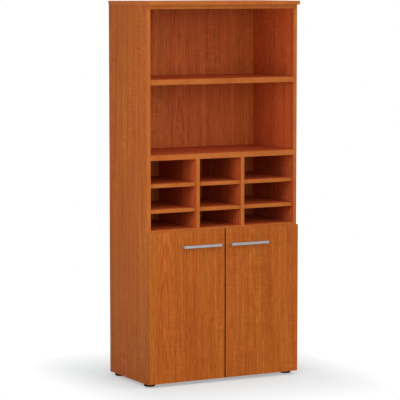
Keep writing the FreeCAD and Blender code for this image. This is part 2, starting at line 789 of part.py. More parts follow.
def hinge_arm(name, end):
    """A bent steel arm: an eye round the pin, a neck that goes into the cup and a channel on the plate."""
    body = new_body(f"hinge_arm_{name}_{end}")
    x, y = hinge_pin_x, hinge_pin_y
    width = dim.eye_half_width
    pad(body, circles(sketch_on(body, "XY_Plane", -width), [(x, y)], dim.eye_radius), width * 2)
    under = y - dim.eye_radius
    neck_x = x + dim.neck_reach
    upright_slab(body, [
        (x, under),
        (neck_x + dim.neck_metal, under),
        (neck_x + dim.neck_metal, dim.arm_front + dim.arm_metal),
        (neck_x, dim.arm_front + dim.arm_metal),
        (neck_x, under + dim.neck_metal),
        (x, under + dim.neck_metal),
    ], width)
    roof_x = dim.plate_bar_height
    near_x, front = dim.arm_from_side, dim.arm_front
    upright_slab(body, rectangle(near_x, front, roof_x + dim.arm_metal, dim.arm_end), dim.arm_half_width)
    channel = dim.arm_half_width - dim.arm_metal
    inside = rectangle(near_x - dim.overrun, front + dim.arm_metal, roof_x, dim.arm_end + dim.overrun)
    cut(body, outline(sketch_on(body, "XY_Plane", channel), inside), channel * 2)
    through = width + dim.overrun
    drill(body, "XY_Plane", [(x, y)], dim.hinge_pin_radius + dim.hinge_pin_fit, through * 2, through)
    top = roof_x.value + dim.arm_metal.value
    corners = (dim.arm_front.value, dim.arm_end.value)

    def arm_corner(edge):
        at_end = any(same(edge.CenterOfMass.y, place) for place in corners)
        return at_end and same(edge.CenterOfMass.x, top) and runs_along(edge, Vector(0, 0, 1))

    rounded(body, dim.arm_round, arm_corner)
    view = SIDES[name]
    set_place(body, view.turn, inner_x * view.hand, front_y, hinge_z[end])
    return node(body)


def hinge_plate(name, end):
    """A mounting plate: a bar that the arm sits on and two screwed wings."""
    body = new_body(f"hinge_plate_{name}_{end}")
    half_wing = dim.plate_wing_half_width
    line = dim.plate_screw_line
    wings = rectangle(ZERO, line - half_wing, dim.plate_wing, line + half_wing)
    upright_slab(body, wings, dim.plate_wing_half_length)

    def wing_corner(edge):
        return runs_along(edge, Vector(1, 0, 0))

    rounded(body, dim.plate_wing_round, wing_corner)
    bar = rectangle(ZERO, dim.plate_bar_start, dim.plate_bar_height, dim.plate_bar_end)
    upright_slab(body, bar, dim.plate_bar_half_width)
    holes = [(line, z) for z in (dim.plate_screw_half_spread, -dim.plate_screw_half_spread)]
    drill(body, "YZ_Plane", holes, dim.plate_screw_radius + dim.hole_play, dim.plate_wing, dim.plate_wing)
    view = SIDES[name]
    set_place(body, view.turn, inner_x * view.hand, front_y, hinge_z[end])
    return node(body)


def hinge_cup(name, end):
    """A cup let into the door, with a screwed flange and two lugs that hold the pin."""
    body = new_body(f"{name}_{end}_cup")
    mouth = dim.door_gap
    pad(body, circles(sketch_on(body, "XZ_Plane", mouth), [(cup_x, ZERO)], dim.cup_radius), dim.cup_depth)
    half_length = dim.cup_flange_half_length
    outward, inward = cup_x - dim.cup_flange_outward, cup_x + dim.cup_flange_inward
    flange = rectangle(outward, -half_length, inward, half_length)
    lip = mouth - dim.cup_flange
    pad(body, outline(sketch_on(body, "XZ_Plane", lip), flange), dim.cup_flange)

    def flange_corner(edge):
        return runs_along(edge, Vector(0, 1, 0)) and same(abs(edge.CenterOfMass.z), half_length.value)

    rounded(body, dim.cup_flange_round, flange_corner)
    hollow = dim.cup_flange + dim.cup_depth - dim.cup_floor
    drill(body, "XZ_Plane", [(cup_x, ZERO)], dim.cup_radius - dim.cup_wall, hollow, lip, True)
    spread = dim.cup_screw_half_spread
    screws = [(cup_x + dim.cup_screw_inward, z) for z in (spread, -spread)]
    drill(body, "XZ_Plane", screws, dim.cup_screw_radius + dim.hole_play, dim.cup_flange, lip, True)
    reach = dim.cup_lug_reach
    lug_floor = -(mouth + dim.cup_depth - dim.cup_floor)
    lug = rectangle(hinge_pin_x - reach, lug_floor, hinge_pin_x + reach, hinge_pin_y + reach)
    lug_start = dim.eye_half_width + dim.lug_play
    for level in (lug_start, -(lug_start + dim.cup_lug)):
        pad(body, outline(sketch_on(body, "XY_Plane", level), lug), dim.cup_lug)
    through = lug_start + dim.cup_lug
    pin_hole = dim.hinge_pin_radius + dim.hinge_pin_fit
    drill(body, "XY_Plane", [(hinge_pin_x, hinge_pin_y)], pin_hole, through * 2, through)
    view = SIDES[name]
    set_place(body, view.turn, inner_x * view.hand, front_y, hinge_z[end])
    return body


for name in SIDES:
    for end in HINGE_ENDS:
        hinge_arm(name, end)
        hinge_plate(name, end)

plate_screw = screw("plate_screw", dim.plate_screw_radius, dim.plate_wing + dim.plate_screw_bite,
                    dim.plate_screw_head_radius, dim.plate_screw_head)
plate_screw_places = []
for view in SIDES.values():
    x = (inner_x - dim.plate_wing - dim.plate_screw_head) * view.hand
    for z in hinge_z.values():
        for offset in (dim.plate_screw_half_spread, -dim.plate_screw_half_spread):
            plate_screw_places.append((view.point_out, x, front_y + dim.plate_screw_line, z + offset))
repeated_node("hinge_plate_screws", plate_screw, plate_screw_places)

# Doors with their bands, handles and hinge cups

handle_z = door_top_z - dim.handle_drop
handle_x = {
    "left": -(dim.handle_from_middle + dim.handle_length),
    "right": dim.handle_from_middle,
}
handle_screw_offsets = (dim.handle_leg / 2, dim.handle_length - dim.handle_leg / 2)
hinge_pin = turned("hinge_pin", rectangle(
    ZERO, ZERO, dim.hinge_pin_radius, (dim.eye_half_width + dim.lug_play + dim.cup_lug) * 2))
cup_screw = screw("cup_screw", dim.cup_screw_radius, dim.cup_flange + dim.cup_screw_bite,
                  dim.cup_screw_head_radius, dim.cup_screw_head)
handle_screw = screw("handle_screw", dim.handle_screw_radius, dim.door_board + dim.handle_screw_bite,
                     dim.handle_screw_head_radius, dim.handle_screw_head)
bumper = turned("bumper", rectangle(ZERO, ZERO, dim.bumper_radius, dim.door_gap - dim.bumper_clearance))
cup_centre_x = inner_x - cup_x
cup_screw_x = cup_centre_x - dim.cup_screw_inward


def door_panel(name):
    """A door core with bored cups, cup screw pilots and handle screw holes."""
    hand = SIDES[name].hand
    low_x = door_inner_x if hand > 0 else -door_outer_x
    core_x = low_x + dim.edge_band
    core_z = door_z + dim.edge_band
    core_width = door_width - dim.edge_band * 2
    core_height = door_height - dim.edge_band * 2
    corner = (core_x, door_back_y, core_z)
    body = board(f"{name}_door", core_width, core_height, dim.door_board, FACE_FRONT, corner)
    cups = [(cup_centre_x * hand - core_x, z - core_z) for z in hinge_z.values()]
    bore_for(body, "XY_Plane", cups, dim.cup_radius, dim.cup_depth, flip=True)
    pilots = []
    for z in hinge_z.values():
        for offset in (dim.cup_screw_half_spread, -dim.cup_screw_half_spread):
            pilots.append((cup_screw_x * hand - core_x, z + offset - core_z))
    bore_for(body, "XY_Plane", pilots, dim.cup_screw_radius, dim.cup_screw_bite, flip=True)
    handle_holes = [(handle_x[name] + offset - core_x, handle_z - core_z) for offset in handle_screw_offsets]
    bore_for(body, "XY_Plane", handle_holes, dim.handle_screw_radius, dim.door_board, flip=True)
    node(body)

    upright = dim.edge_band
    group_node(f"{name}_door_edge_bands", [
        band(f"{name}_door_left_band", dim.door_board, door_height, FACE_LEFT,
             (low_x + upright, door_back_y, door_z)),
        band(f"{name}_door_right_band", dim.door_board, door_height, FACE_RIGHT,
             (low_x + door_width - upright, door_front_y, door_z)),
        band(f"{name}_door_top_band", door_width - upright * 2, dim.door_board, FACE_UP,
             (core_x, door_front_y, door_top_z - upright)),
        band(f"{name}_door_bottom_band", door_width - upright * 2, dim.door_board, FACE_DOWN,
             (core_x, door_back_y, core_z)),
    ])


def bow_handle(name):
    """A flat bar on two legs, rounded at its bends and along its edges, tapped in both legs."""
    body = new_body(f"{name}_handle")
    length, leg = dim.handle_length, dim.handle_leg
    inner_y = dim.handle_bar - dim.handle_projection
    front = -dim.handle_projection
    pad(body, outline(sketch_on(body, "XY_Plane"), [
        (ZERO, ZERO),
        (ZERO, front),
        (length, front),
        (length, ZERO),
        (length - leg, ZERO),
        (length - leg, inner_y),
        (leg, inner_y),
        (leg, ZERO),
    ]), dim.handle_height)

    def bend(edge, place):
        return runs_along(edge, Vector(0, 0, 1)) and same(edge.CenterOfMass.y, place.value)

    rounded(body, dim.handle_round, lambda edge: bend(edge, front))
    rounded(body, dim.handle_inner_round, lambda edge: bend(edge, inner_y))

    def outer_edge(edge):
        flat = same(edge.BoundBox.ZMax, edge.BoundBox.ZMin)
        return flat and (edge.BoundBox.YMin < inner_y.value - dim.handle_edge_round.value)

    rounded(body, dim.handle_edge_round, outer_edge)
    holes = [(offset, dim.handle_height / 2) for offset in handle_screw_offsets]
    bore_for(body, "XZ_Plane", holes, dim.handle_screw_radius, dim.handle_screw_bite, flip=True)
    set_place(body, FACE_UP, handle_x[name], door_front_y, handle_z - dim.handle_height / 2)
    return node(body)


def door_hardware(name):
    hand = SIDES[name].hand
    group_node(f"{name}_hinge_cups", [hinge_cup(name, end) for end in HINGE_ENDS])
    pin_low = dim.eye_half_width + dim.lug_play + dim.cup_lug
    axis_x = (inner_x - hinge_pin_x) * hand
    axis_y = front_y + hinge_pin_y
    repeated_node(f"{name}_hinge_pins", hinge_pin, [
        (FACE_UP, axis_x, axis_y, z - pin_low) for z in hinge_z.values()])
    cup_screw_y = door_back_y + dim.cup_flange + dim.cup_screw_head
    places = []
    for z in hinge_z.values():
        for offset in (dim.cup_screw_half_spread, -dim.cup_screw_half_spread):
            places.append((POINT_FRONT, cup_screw_x * hand, cup_screw_y, z + offset))
    repeated_node(f"{name}_cup_screws", cup_screw, places)
    repeated_node(f"{name}_handle_screws", handle_screw, [
        (POINT_FRONT, handle_x[name] + offset, door_back_y + dim.handle_screw_head, handle_z)
        for offset in handle_screw_offsets])
    bumper_y = door_back_y + dim.door_gap - dim.bumper_clearance
    bumper_levels = ((floor_z + door_top_z) / 2, (door_z + bottom_top_z) / 2)
    repeated_node(f"{name}_bumpers", bumper, [
        (POINT_FRONT, dim.bumper_from_middle * hand, bumper_y, z) for z in bumper_levels])


for name in SIDES:
    door_panel(name)
    bow_handle(name)
    door_hardware(name)

# Test every object before anything is written

doc.recompute()
for thing in doc.Objects:
    if "Invalid" in thing.State or "Error" in thing.State:
        raise RuntimeError(f"{thing.Label} failed: {thing.State}")
for feature, before in CUTS:
    if feature.Shape.Volume >= before.Shape.Volume:
        raise RuntimeError(f"{feature.Label} takes nothing away")
for thing in NODES:
    if thing.Shape.isNull() or not thing.Shape.isValid():
        raise RuntimeError(f"{thing.Label} has no valid shape")

os.makedirs("parts", exist_ok=True)
for thing in NODES:
    thing.Shape.exportStep(f"parts/{thing.Label}.step")
print(len(NODES), "nodes,", sum(len(thing.Shape.Solids) for thing in NODES), "solids")
axis = [round((inner_x - hinge_pin_x).value, 4), round((front_y + hinge_pin_y).value, 4)]
print("hinge axis x, y:", axis)
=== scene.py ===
# %% [markdown]
# # A tall sorting cabinet in cherry laminate
# The cabinet has two open bays, a block of pigeonholes and a cupboard with two doors. The CAD model
# already gives every board, hinge and handle its true shape, so this lesson spends its effort on
# finishes, on small fittings and on the light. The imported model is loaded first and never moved.

# %% Load the frame
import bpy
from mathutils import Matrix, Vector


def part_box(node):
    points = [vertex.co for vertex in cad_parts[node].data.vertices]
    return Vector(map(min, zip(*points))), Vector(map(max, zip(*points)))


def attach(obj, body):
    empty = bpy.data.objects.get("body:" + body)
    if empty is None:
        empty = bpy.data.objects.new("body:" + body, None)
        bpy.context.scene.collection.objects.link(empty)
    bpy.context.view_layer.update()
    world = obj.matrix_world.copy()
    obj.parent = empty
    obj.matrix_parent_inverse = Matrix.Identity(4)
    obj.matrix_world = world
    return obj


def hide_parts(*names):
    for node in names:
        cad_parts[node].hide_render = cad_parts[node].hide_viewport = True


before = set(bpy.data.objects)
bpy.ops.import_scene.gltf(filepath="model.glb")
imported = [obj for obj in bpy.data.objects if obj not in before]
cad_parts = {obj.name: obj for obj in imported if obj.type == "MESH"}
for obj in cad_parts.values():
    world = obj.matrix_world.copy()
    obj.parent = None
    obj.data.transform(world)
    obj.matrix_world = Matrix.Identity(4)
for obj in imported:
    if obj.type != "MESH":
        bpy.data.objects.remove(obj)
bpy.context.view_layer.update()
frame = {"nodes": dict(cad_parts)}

import fnmatch
import math

import bpy
from mathutils import Matrix, Vector

nodes = frame["nodes"]

# %% [markdown]
# ## Helpers for node trees
# Finishes and small fittings are both made of nodes, and a tree written out node by node takes many
# lines. So three helpers come first: one adds a node, one links a socket or sets a plain value on it, and
# one does sums.

# %% Add, feed and calculate
def add_node(tree, kind, **settings):
    made = tree.nodes.new(kind)
    for name, value in settings.items():
        setattr(made, name, value)
    return made


def feed(tree, socket, source):
    """Links a socket to another, or sets a plain value on it."""
    if isinstance(source, bpy.types.NodeSocket):
        tree.links.new(source, socket)
    else:
        socket.default_value = source


def calc(tree, operation, *terms, clamp=False):
    made = add_node(tree, "ShaderNodeMath", operation=operation, use_clamp=clamp)
    for socket, term in zip(made.inputs, terms):
        feed(tree, socket, term)
    return made.outputs[0]


print("node helpers ready")

# %% [markdown]
# ## Helpers for patterns
# Nearly every pattern here is a noise that is squeezed along two axes, so that it turns into streaks. A
# picture of wood could be used instead, but it repeats and has to be unwrapped onto each board. Noise on
# an object's own coordinates never repeats and runs round every edge. The other helpers move, weigh and
# join such patterns.

# %% Noise and ranges
HALF = 0.5
FINE_DETAIL = 3.0


def stretched(tree, vector, factors):
    """The vector with each of its parts multiplied, which squeezes a pattern along that axis."""
    made = add_node(tree, "ShaderNodeVectorMath", operation="MULTIPLY")
    feed(tree, made.inputs[0], vector)
    made.inputs[1].default_value = factors
    return made.outputs[0]


def noise(tree, vector, scale=1.0, detail=2.0, roughness=0.5):
    made = add_node(tree, "ShaderNodeTexNoise")
    feed(tree, made.inputs["Vector"], vector)
    made.inputs["Scale"].default_value = scale
    made.inputs["Detail"].default_value = detail
    made.inputs["Roughness"].default_value = roughness
    return made.outputs["Fac"]


def remap(tree, value, low, high, to_low=0.0, to_high=1.0):
    """The value moved from one range into another, and held inside it."""
    made = add_node(tree, "ShaderNodeMapRange")
    terms = {"Value": value, "From Min": low, "From Max": high, "To Min": to_low, "To Max": to_high}
    for name, term in terms.items():
        feed(tree, made.inputs[name], term)
    return made.outputs["Result"]


def centred(tree, value, share):
    """A noise, which lies round one half, moved to lie round zero and weighed by its share."""
    return calc(tree, "MULTIPLY", calc(tree, "SUBTRACT", value, HALF), share)


def weighed(tree, first, second, first_share):
    """Two patterns added up: the first by its share, the second by the rest."""
    rest = calc(tree, "MULTIPLY", second, 1.0 - first_share)
    return calc(tree, "ADD", calc(tree, "MULTIPLY", first, first_share), rest)


print("pattern helpers ready")

# %% [markdown]
# ## Helpers for colours
# A colour is written as a screen shows it, because that is how one reads it from a sample board. Shaders
# count in linear light, so each channel goes through the screen's standard curve. A ramp then lays
# several colours along a pattern, and a mix puts one colour over another.

# %% Colours
def srgb(red, green, blue):
    """A colour as it is seen on screen, 0 to 255, turned into the linear values that shaders use."""
    def linear(channel):
        share = channel / 255
        return share / 12.92 if share <= 0.04045 else ((share + 0.055) / 1.055) ** 2.4
    return (linear(red), linear(green), linear(blue), 1.0)


def ramp(tree, value, stops):
    made = add_node(tree, "ShaderNodeValToRGB")
    feed(tree, made.inputs["Fac"], value)
    elements = made.color_ramp.elements
    while len(elements) < len(stops):
        elements.new(HALF)
    for element, (place, colour) in zip(elements, stops):
        element.position = place
        element.color = colour
    return made.outputs["Color"]


def mixed(tree, factor, first, second):
    made = add_node(tree, "ShaderNodeMix", data_type="RGBA")
    feed(tree, made.inputs["Factor"], factor)
    feed(tree, made.inputs["A"], first)
    feed(tree, made.inputs["B"], second)
    return made.outputs["Result"]


print("mid grey in linear light", round(srgb(128, 128, 128)[0], 3))

# %% [markdown]
# ## Helpers for groups and materials
# A group is a recipe that several materials share. It has named sockets and gives back patterns only, so
# that each material keeps its own shader. A CAD node takes a finish in its material slot, and its mesh
# stays as it is.

# %% Groups and materials
MM = 0.001


def shader_group(name, inputs, outputs):
    """An empty group with named sockets; inputs are (name, socket kind, default value)."""
    tree = bpy.data.node_groups.new(name, "ShaderNodeTree")
    for label, kind, default in inputs:
        socket = tree.interface.new_socket(label, in_out="INPUT", socket_type=kind)
        if default is not None:
            socket.default_value = default
    for label, kind in outputs:
        tree.interface.new_socket(label, in_out="OUTPUT", socket_type=kind)
    return tree, add_node(tree, "NodeGroupInput").outputs, add_node(tree, "NodeGroupOutput").inputs


def place_group(tree, group, **values):
    made = add_node(tree, "ShaderNodeGroup", node_tree=group)
    for name, value in values.items():
        feed(tree, made.inputs[name.replace("_", " ")], value)
    return made.outputs


def new_material(name):
    """A material with its tree, the inputs of its shader and the object's own coordinates."""
    material = bpy.data.materials.new(name)
    material.use_nodes = True
    tree = material.node_tree
    where = add_node(tree, "ShaderNodeTexCoord").outputs["Object"]
    return material, tree, tree.nodes["Principled BSDF"].inputs, where


def coat(tree, surface, colour, roughness, height, depth, strength):
    """Feeds a pattern into the shader as colour, roughness and fine relief."""
    relief = add_node(tree, "ShaderNodeBump")
    feed(tree, relief.inputs["Height"], height)
    relief.inputs["Distance"].default_value = depth
    relief.inputs["Strength"].default_value = strength
    feed(tree, surface["Base Color"], colour)
    feed(tree, surface["Roughness"], roughness)
    feed(tree, surface["Normal"], relief.outputs["Normal"])


def dress(node_name, material):
    slots = nodes[node_name].data.materials
    slots.clear()
    slots.append(material)


print("material helpers ready")

# %% [markdown]
# ## Growth rings
# The boards are chipboard with a printed cherry laminate. Cherry shows growth rings that climb into soft
# pointed arches where the saw met the heart of the tree. The arches could be drawn one by one, but a
# simpler way is to do what the tree did: rings are circles round a core, and the core leans slightly from
# the board. Here X runs across the grain and Z along it, so each board only has to turn its coordinates
# first.

# %% Layers of the wood and its rings
# Each layer: waves per metre across, across and along the grain, then the detail and roughness of the noise
GRAIN_LAYERS = {
    "sway": ((5.0, 5.0, 1.3), 2.0, 0.5),
    "ripple": ((30.0, 30.0, 9.0), 2.0, 0.5),
    "stripes": ((70.0, 70.0, 1.6), 3.0, 0.72),
    "flecks": ((190.0, 190.0, 26.0), 1.0, 0.5),
    "clouds": ((4.0, 4.0, 1.5), 2.0, 0.5),
    "curl": ((16.0, 16.0, 130.0), 1.0, 0.5),
    "curl_patches": ((9.0, 9.0, 3.0), 1.0, 0.5),
    "warmth": ((30.0, 30.0, 0.8), 2.0, 0.5),
    "fibres": ((620.0, 620.0, 14.0), 3.0, 0.6),
    "dashes": ((900.0, 900.0, 55.0), 1.0, 0.5),
}
SWAY_REACH = 0.07
RIPPLE_REACH = 0.012
LATE_WOOD_POWER = 1.6
LATE_WOOD_END = 0.7
RING_STEP = 0.37
ALONG_STEP = 0.4
RING_TONE_SCALE = 3.0


def layer(tree, vector, name):
    waves, detail, roughness = GRAIN_LAYERS[name]
    return noise(tree, stretched(tree, vector, waves), detail=detail, roughness=roughness)


def growth_rings(tree, given):
    """The thin late-wood line of each ring, and one tone for every ring."""
    vector = given["Vector"]
    split = add_node(tree, "ShaderNodeSeparateXYZ")
    feed(tree, split.inputs[0], vector)
    across, along = split.outputs["X"], split.outputs["Z"]
    sway = centred(tree, layer(tree, vector, "sway"), SWAY_REACH)
    ripple = centred(tree, layer(tree, vector, "ripple"), RIPPLE_REACH)
    straight = calc(tree, "SUBTRACT", across, given["Core Across"])
    from_core = calc(tree, "ADD", straight, calc(tree, "ADD", sway, ripple))
    depth = calc(tree, "ADD", calc(tree, "MULTIPLY", along, given["Core Lean"]), given["Core Depth"])
    squares = calc(tree, "ADD", calc(tree, "POWER", from_core, 2.0), calc(tree, "POWER", depth, 2.0))
    turns = calc(tree, "MULTIPLY", calc(tree, "SQRT", squares), given["Rings"])
    # Each ring darkens slowly, and fades quickly where the next one begins
    within = calc(tree, "FRACT", turns)
    fade = remap(tree, within, LATE_WOOD_END, 1.0, 1.0, 0.0)
    late_wood = calc(tree, "MULTIPLY", calc(tree, "POWER", within, LATE_WOOD_POWER), fade)
    place = add_node(tree, "ShaderNodeCombineXYZ")
    feed(tree, place.inputs["X"], calc(tree, "MULTIPLY", calc(tree, "FLOOR", turns), RING_STEP))
    feed(tree, place.inputs["Y"], calc(tree, "MULTIPLY", along, ALONG_STEP))
    return late_wood, noise(tree, place.outputs[0], scale=RING_TONE_SCALE, detail=0.0)


print(len(GRAIN_LAYERS), "layers of wood")

# %% [markdown]
# ## Cherry grain
# Besides its rings, cherry has broad light and dark stripes, a curl that shimmers across them in patches,
# and very fine fibres and pores. One shader group adds all of that up, so that every board shares the
# same wood. It gives back a tone, a slow change of hue, the pores and a height, and each board makes its
# colours of them.

# %% Cherry grain group
TONE_SHARES = {"stripes": 0.8, "clouds": 0.3, "flecks": 0.5, "fibres": 0.5, "rings": 0.3}
TONE_MIDDLE = 0.58
LATE_WOOD_SHARE = 0.32
CURL_SHARE = 0.5
CURL_LIMITS = (0.48, 0.62)
WARMTH_LIMITS = (0.35, 0.65)
PORE_LIMITS = (0.60, 0.72)
FIBRE_HEIGHT_SHARE = 0.5
PORE_HEIGHT_SHARE = 0.6
CORE_DEPTH = 0.06
CORE_LEAN = 0.05
RINGS_PER_METRE = 120.0


def build_cherry_grain():
    inputs = [
        ("Vector", "NodeSocketVector", None),
        ("Core Across", "NodeSocketFloat", 0.0),
        ("Core Depth", "NodeSocketFloat", CORE_DEPTH),
        ("Core Lean", "NodeSocketFloat", CORE_LEAN),
        ("Rings", "NodeSocketFloat", RINGS_PER_METRE),
    ]
    outputs = [(label, "NodeSocketFloat") for label in ("Tone", "Warmth", "Pores", "Height")]
    tree, given, result = shader_group("cherry_grain", inputs, outputs)
    vector = given["Vector"]
    late_wood, ring_tone = growth_rings(tree, given)
    layers = {name: layer(tree, vector, name) for name in GRAIN_LAYERS if name in TONE_SHARES}
    layers["rings"] = ring_tone
    tone = TONE_MIDDLE
    for name, share in TONE_SHARES.items():
        tone = calc(tree, "ADD", tone, centred(tree, layers[name], share))
    curl = centred(tree, layer(tree, vector, "curl"), CURL_SHARE)
    curl_patches = remap(tree, layer(tree, vector, "curl_patches"), *CURL_LIMITS)
    tone = calc(tree, "ADD", tone, calc(tree, "MULTIPLY", curl, curl_patches))
    lines = calc(tree, "MULTIPLY", late_wood, LATE_WOOD_SHARE)
    feed(tree, result["Tone"], calc(tree, "SUBTRACT", tone, lines, clamp=True))
    feed(tree, result["Warmth"], remap(tree, layer(tree, vector, "warmth"), *WARMTH_LIMITS))
    pores = remap(tree, layer(tree, vector, "dashes"), *PORE_LIMITS)
    feed(tree, result["Pores"], pores)
    raised = calc(tree, "MULTIPLY", layers["fibres"], FIBRE_HEIGHT_SHARE)
    sunk = calc(tree, "MULTIPLY", pores, PORE_HEIGHT_SHARE)
    feed(tree, result["Height"], calc(tree, "SUBTRACT", raised, sunk))
    return tree


cherry_grain = build_cherry_grain()
print("group", cherry_grain.name, "with", len(cherry_grain.nodes), "nodes")

# %% [markdown]
# ## Raw chipboard
# Where an edge is out of sight, such as along the back, the boards have no band and show pressed wood
# chips. The chips could be modelled, but they are pressed flat, so a pattern is enough. A second group
# draws them as cells with fine dust over them. Each board then picks its raw edges by the way its surface
# faces, so that no mesh has to be cut up for it.

# %% Chipboard group
CHIP_SIZE = 4 * MM
CHIP_SQUEEZE = (0.5, 1.0, 1.7)
CHIP_TONE_SHARE = 0.7
DUST_SCALE = 420.0
CHIPBOARD_STOPS = [(0.1, srgb(132, 92, 58)), (0.5, srgb(180, 136, 92)), (0.9, srgb(212, 174, 128))]


def build_chipboard():
    inputs = [("Vector", "NodeSocketVector", None), ("Chip Size", "NodeSocketFloat", CHIP_SIZE)]
    outputs = [("Colour", "NodeSocketColor"), ("Height", "NodeSocketFloat")]
    tree, given, result = shader_group("chipboard", inputs, outputs)
    chips = add_node(tree, "ShaderNodeTexVoronoi", feature="F1")
    feed(tree, chips.inputs["Vector"], stretched(tree, given["Vector"], CHIP_SQUEEZE))
    feed(tree, chips.inputs["Scale"], calc(tree, "DIVIDE", 1.0, given["Chip Size"]))
    shade = add_node(tree, "ShaderNodeSeparateColor")
    feed(tree, shade.inputs[0], chips.outputs["Color"])
    dust = noise(tree, given["Vector"], scale=DUST_SCALE)
    tone = weighed(tree, shade.outputs[0], dust, CHIP_TONE_SHARE)
    feed(tree, result["Colour"], ramp(tree, tone, CHIPBOARD_STOPS))
    feed(tree, result["Height"], tone)
    return tree


chipboard = build_chipboard()
print("group", chipboard.name, "with", len(chipboard.nodes), "nodes")

# %% [markdown]
# ## Colours of the laminate
# The print is a warm red-brown. Inside the cabinet the boards look redder, because light goes from one
# red wall to the next. That bounced light is painted into the colour: the inner stops are redder and
# lighter, and the back's stops lie between the two, partly its own print and partly painted bounce light.
# So there are three sets of stops, each from the darkest grain to the lightest. Every set is used twice,
# a little greener and a little redder, in soft stripes.

# %% Laminate colours
CHERRY_STOPS = [
    (0.0, srgb(132, 51, 10)),
    (0.35, srgb(162, 78, 20)),
    (0.62, srgb(179, 94, 30)),
    (1.0, srgb(202, 120, 49)),
]
# Painted bounce light: redder and lighter stops for the faces inside the cabinet
BOUNCE_LIGHT_STOPS = [
    (0.0, srgb(138, 48, 22)),
    (0.35, srgb(178, 76, 36)),
    (0.62, srgb(200, 93, 48)),
    (1.0, srgb(218, 116, 66)),
]
# The back's own print with painted bounce light, lying between the outer and the inner stops
BACK_PRINT_AND_BOUNCE_STOPS = [
    (0.0, srgb(136, 52, 20)),
    (0.35, srgb(175, 81, 34)),
    (0.62, srgb(196, 99, 45)),
    (1.0, srgb(214, 122, 63)),
]
PORE_COLOUR = srgb(104, 44, 14)
PORE_SHARE = 0.35
GREEN_SHARES = (0.91, 1.11)
AXES = {"+X": (1, 0, 0), "-X": (-1, 0, 0), "+Y": (0, 1, 0), "+Z": (0, 0, 1), "-Z": (0, 0, -1)}
FACING_LIMIT = 0.9


def facing_mask(tree, axes):
    """One where the surface looks along one of the piece's own axes, and zero elsewhere."""
    facing = add_node(tree, "ShaderNodeTexCoord").outputs["Normal"]
    mask = 0.0
    for axis in axes:
        dot = add_node(tree, "ShaderNodeVectorMath", operation="DOT_PRODUCT")
        feed(tree, dot.inputs[0], facing)
        dot.inputs[1].default_value = AXES[axis]
        looks_along = calc(tree, "GREATER_THAN", dot.outputs["Value"], FACING_LIMIT)
        mask = calc(tree, "ADD", mask, looks_along, clamp=True)
    return mask


def two_hues(tree, grain, stops):
    """The ramp in a redder and a yellower version, mixed in soft stripes."""
    hues = []
    for share in GREEN_SHARES:
        shifted = [(place, (red, green * share, blue, 1.0)) for place, (red, green, blue, alpha) in stops]
        hues.append(ramp(tree, grain["Tone"], shifted))
    return mixed(tree, grain["Warmth"], *hues)


print("stops for", len(CHERRY_STOPS), "depths of grain")

# %% [markdown]
# ## Laminated boards
# Every board gets a material of its own, because no two boards are cut from the same spot of the print.
# They all use the cherry group; only the direction of the grain, the place of the arches and a shift
# differ. Upright boards have upright grain, and lying boards have grain from left to right, as a joiner
# would cut them.

# %% Cherry laminate
BOARD_SHINE = 0.1
DARK_ROUGHNESS = 0.58
LIGHT_ROUGHNESS = 0.48
RAW_ROUGHNESS = 0.85
LAMINATE_RELIEF = 0.15 * MM
LAMINATE_STRENGTH = 0.5


def cherry_board(name, turn, shift, core=0.0, depth=CORE_DEPTH, lean=CORE_LEAN, raw=(), bounce_light_axes=(),
                 chip=CHIP_SIZE, stops=CHERRY_STOPS, shine=BOARD_SHINE):
    """A laminate turned to the board; faces along the bounce light axes take the redder stops of painted
    bounce light, along the raw ones bare.
    """
    material, tree, surface, where = new_material(name)
    mapping = add_node(tree, "ShaderNodeMapping")
    feed(tree, mapping.inputs["Vector"], where)
    mapping.inputs["Rotation"].default_value = turn.to_euler()
    mapping.inputs["Location"].default_value = shift
    grain = place_group(tree, cherry_grain, Vector=mapping.outputs[0], Core_Across=core, Core_Depth=depth,
                        Core_Lean=lean)
    colour = two_hues(tree, grain, stops)
    # Faces along these axes take painted bounce light, the redder and lighter stops
    if bounce_light_axes:
        colour = mixed(tree, facing_mask(tree, bounce_light_axes), colour, two_hues(tree, grain, BOUNCE_LIGHT_STOPS))
    colour = mixed(tree, calc(tree, "MULTIPLY", grain["Pores"], PORE_SHARE), colour, PORE_COLOUR)
    height = grain["Height"]
    roughness = remap(tree, grain["Tone"], 0.0, 1.0, DARK_ROUGHNESS, LIGHT_ROUGHNESS)
    if raw:
        mask = facing_mask(tree, raw)
        chips = place_group(tree, chipboard, Vector=where, Chip_Size=chip)
        colour = mixed(tree, mask, colour, chips["Colour"])
        roughness = calc(tree, "MAXIMUM", roughness, calc(tree, "MULTIPLY", mask, RAW_ROUGHNESS))
        height = calc(tree, "ADD", height, calc(tree, "MULTIPLY", mask, chips["Height"]))
    coat(tree, surface, colour, roughness, height, LAMINATE_RELIEF, LAMINATE_STRENGTH)
    surface["Specular IOR Level"].default_value = shine
    return material


print("laminate ready")

# %% [markdown]
# ## Upright boards
# The sides, dividers, back and doors stand upright. The doors' cores lie close to the surface, which
# draws long arches down them. The sides are a little duller than the rest, and their rear and end edges
# are bare. Seven materials could be written out one by one, but only a few values differ, so a table
# holds those.

# %% Upright boards
UPRIGHT_FRONT = Matrix.Identity(3)
UPRIGHT_SIDE = Matrix(((0, 1, 0), (-1, 0, 0), (0, 0, 1)))
SIDE_FINISH = dict(turn=UPRIGHT_SIDE, raw=("+Y", "+Z", "-Z"), shine=0.085)
# The dividers, like the inner faces of the sides, take the stops with painted bounce light
DIVIDER_FINISH = dict(turn=UPRIGHT_SIDE, stops=BOUNCE_LIGHT_STOPS)
BACK_FINISH = dict(turn=UPRIGHT_FRONT, raw=("+Y",), chip=1.2 * MM, stops=BACK_PRINT_AND_BOUNCE_STOPS)

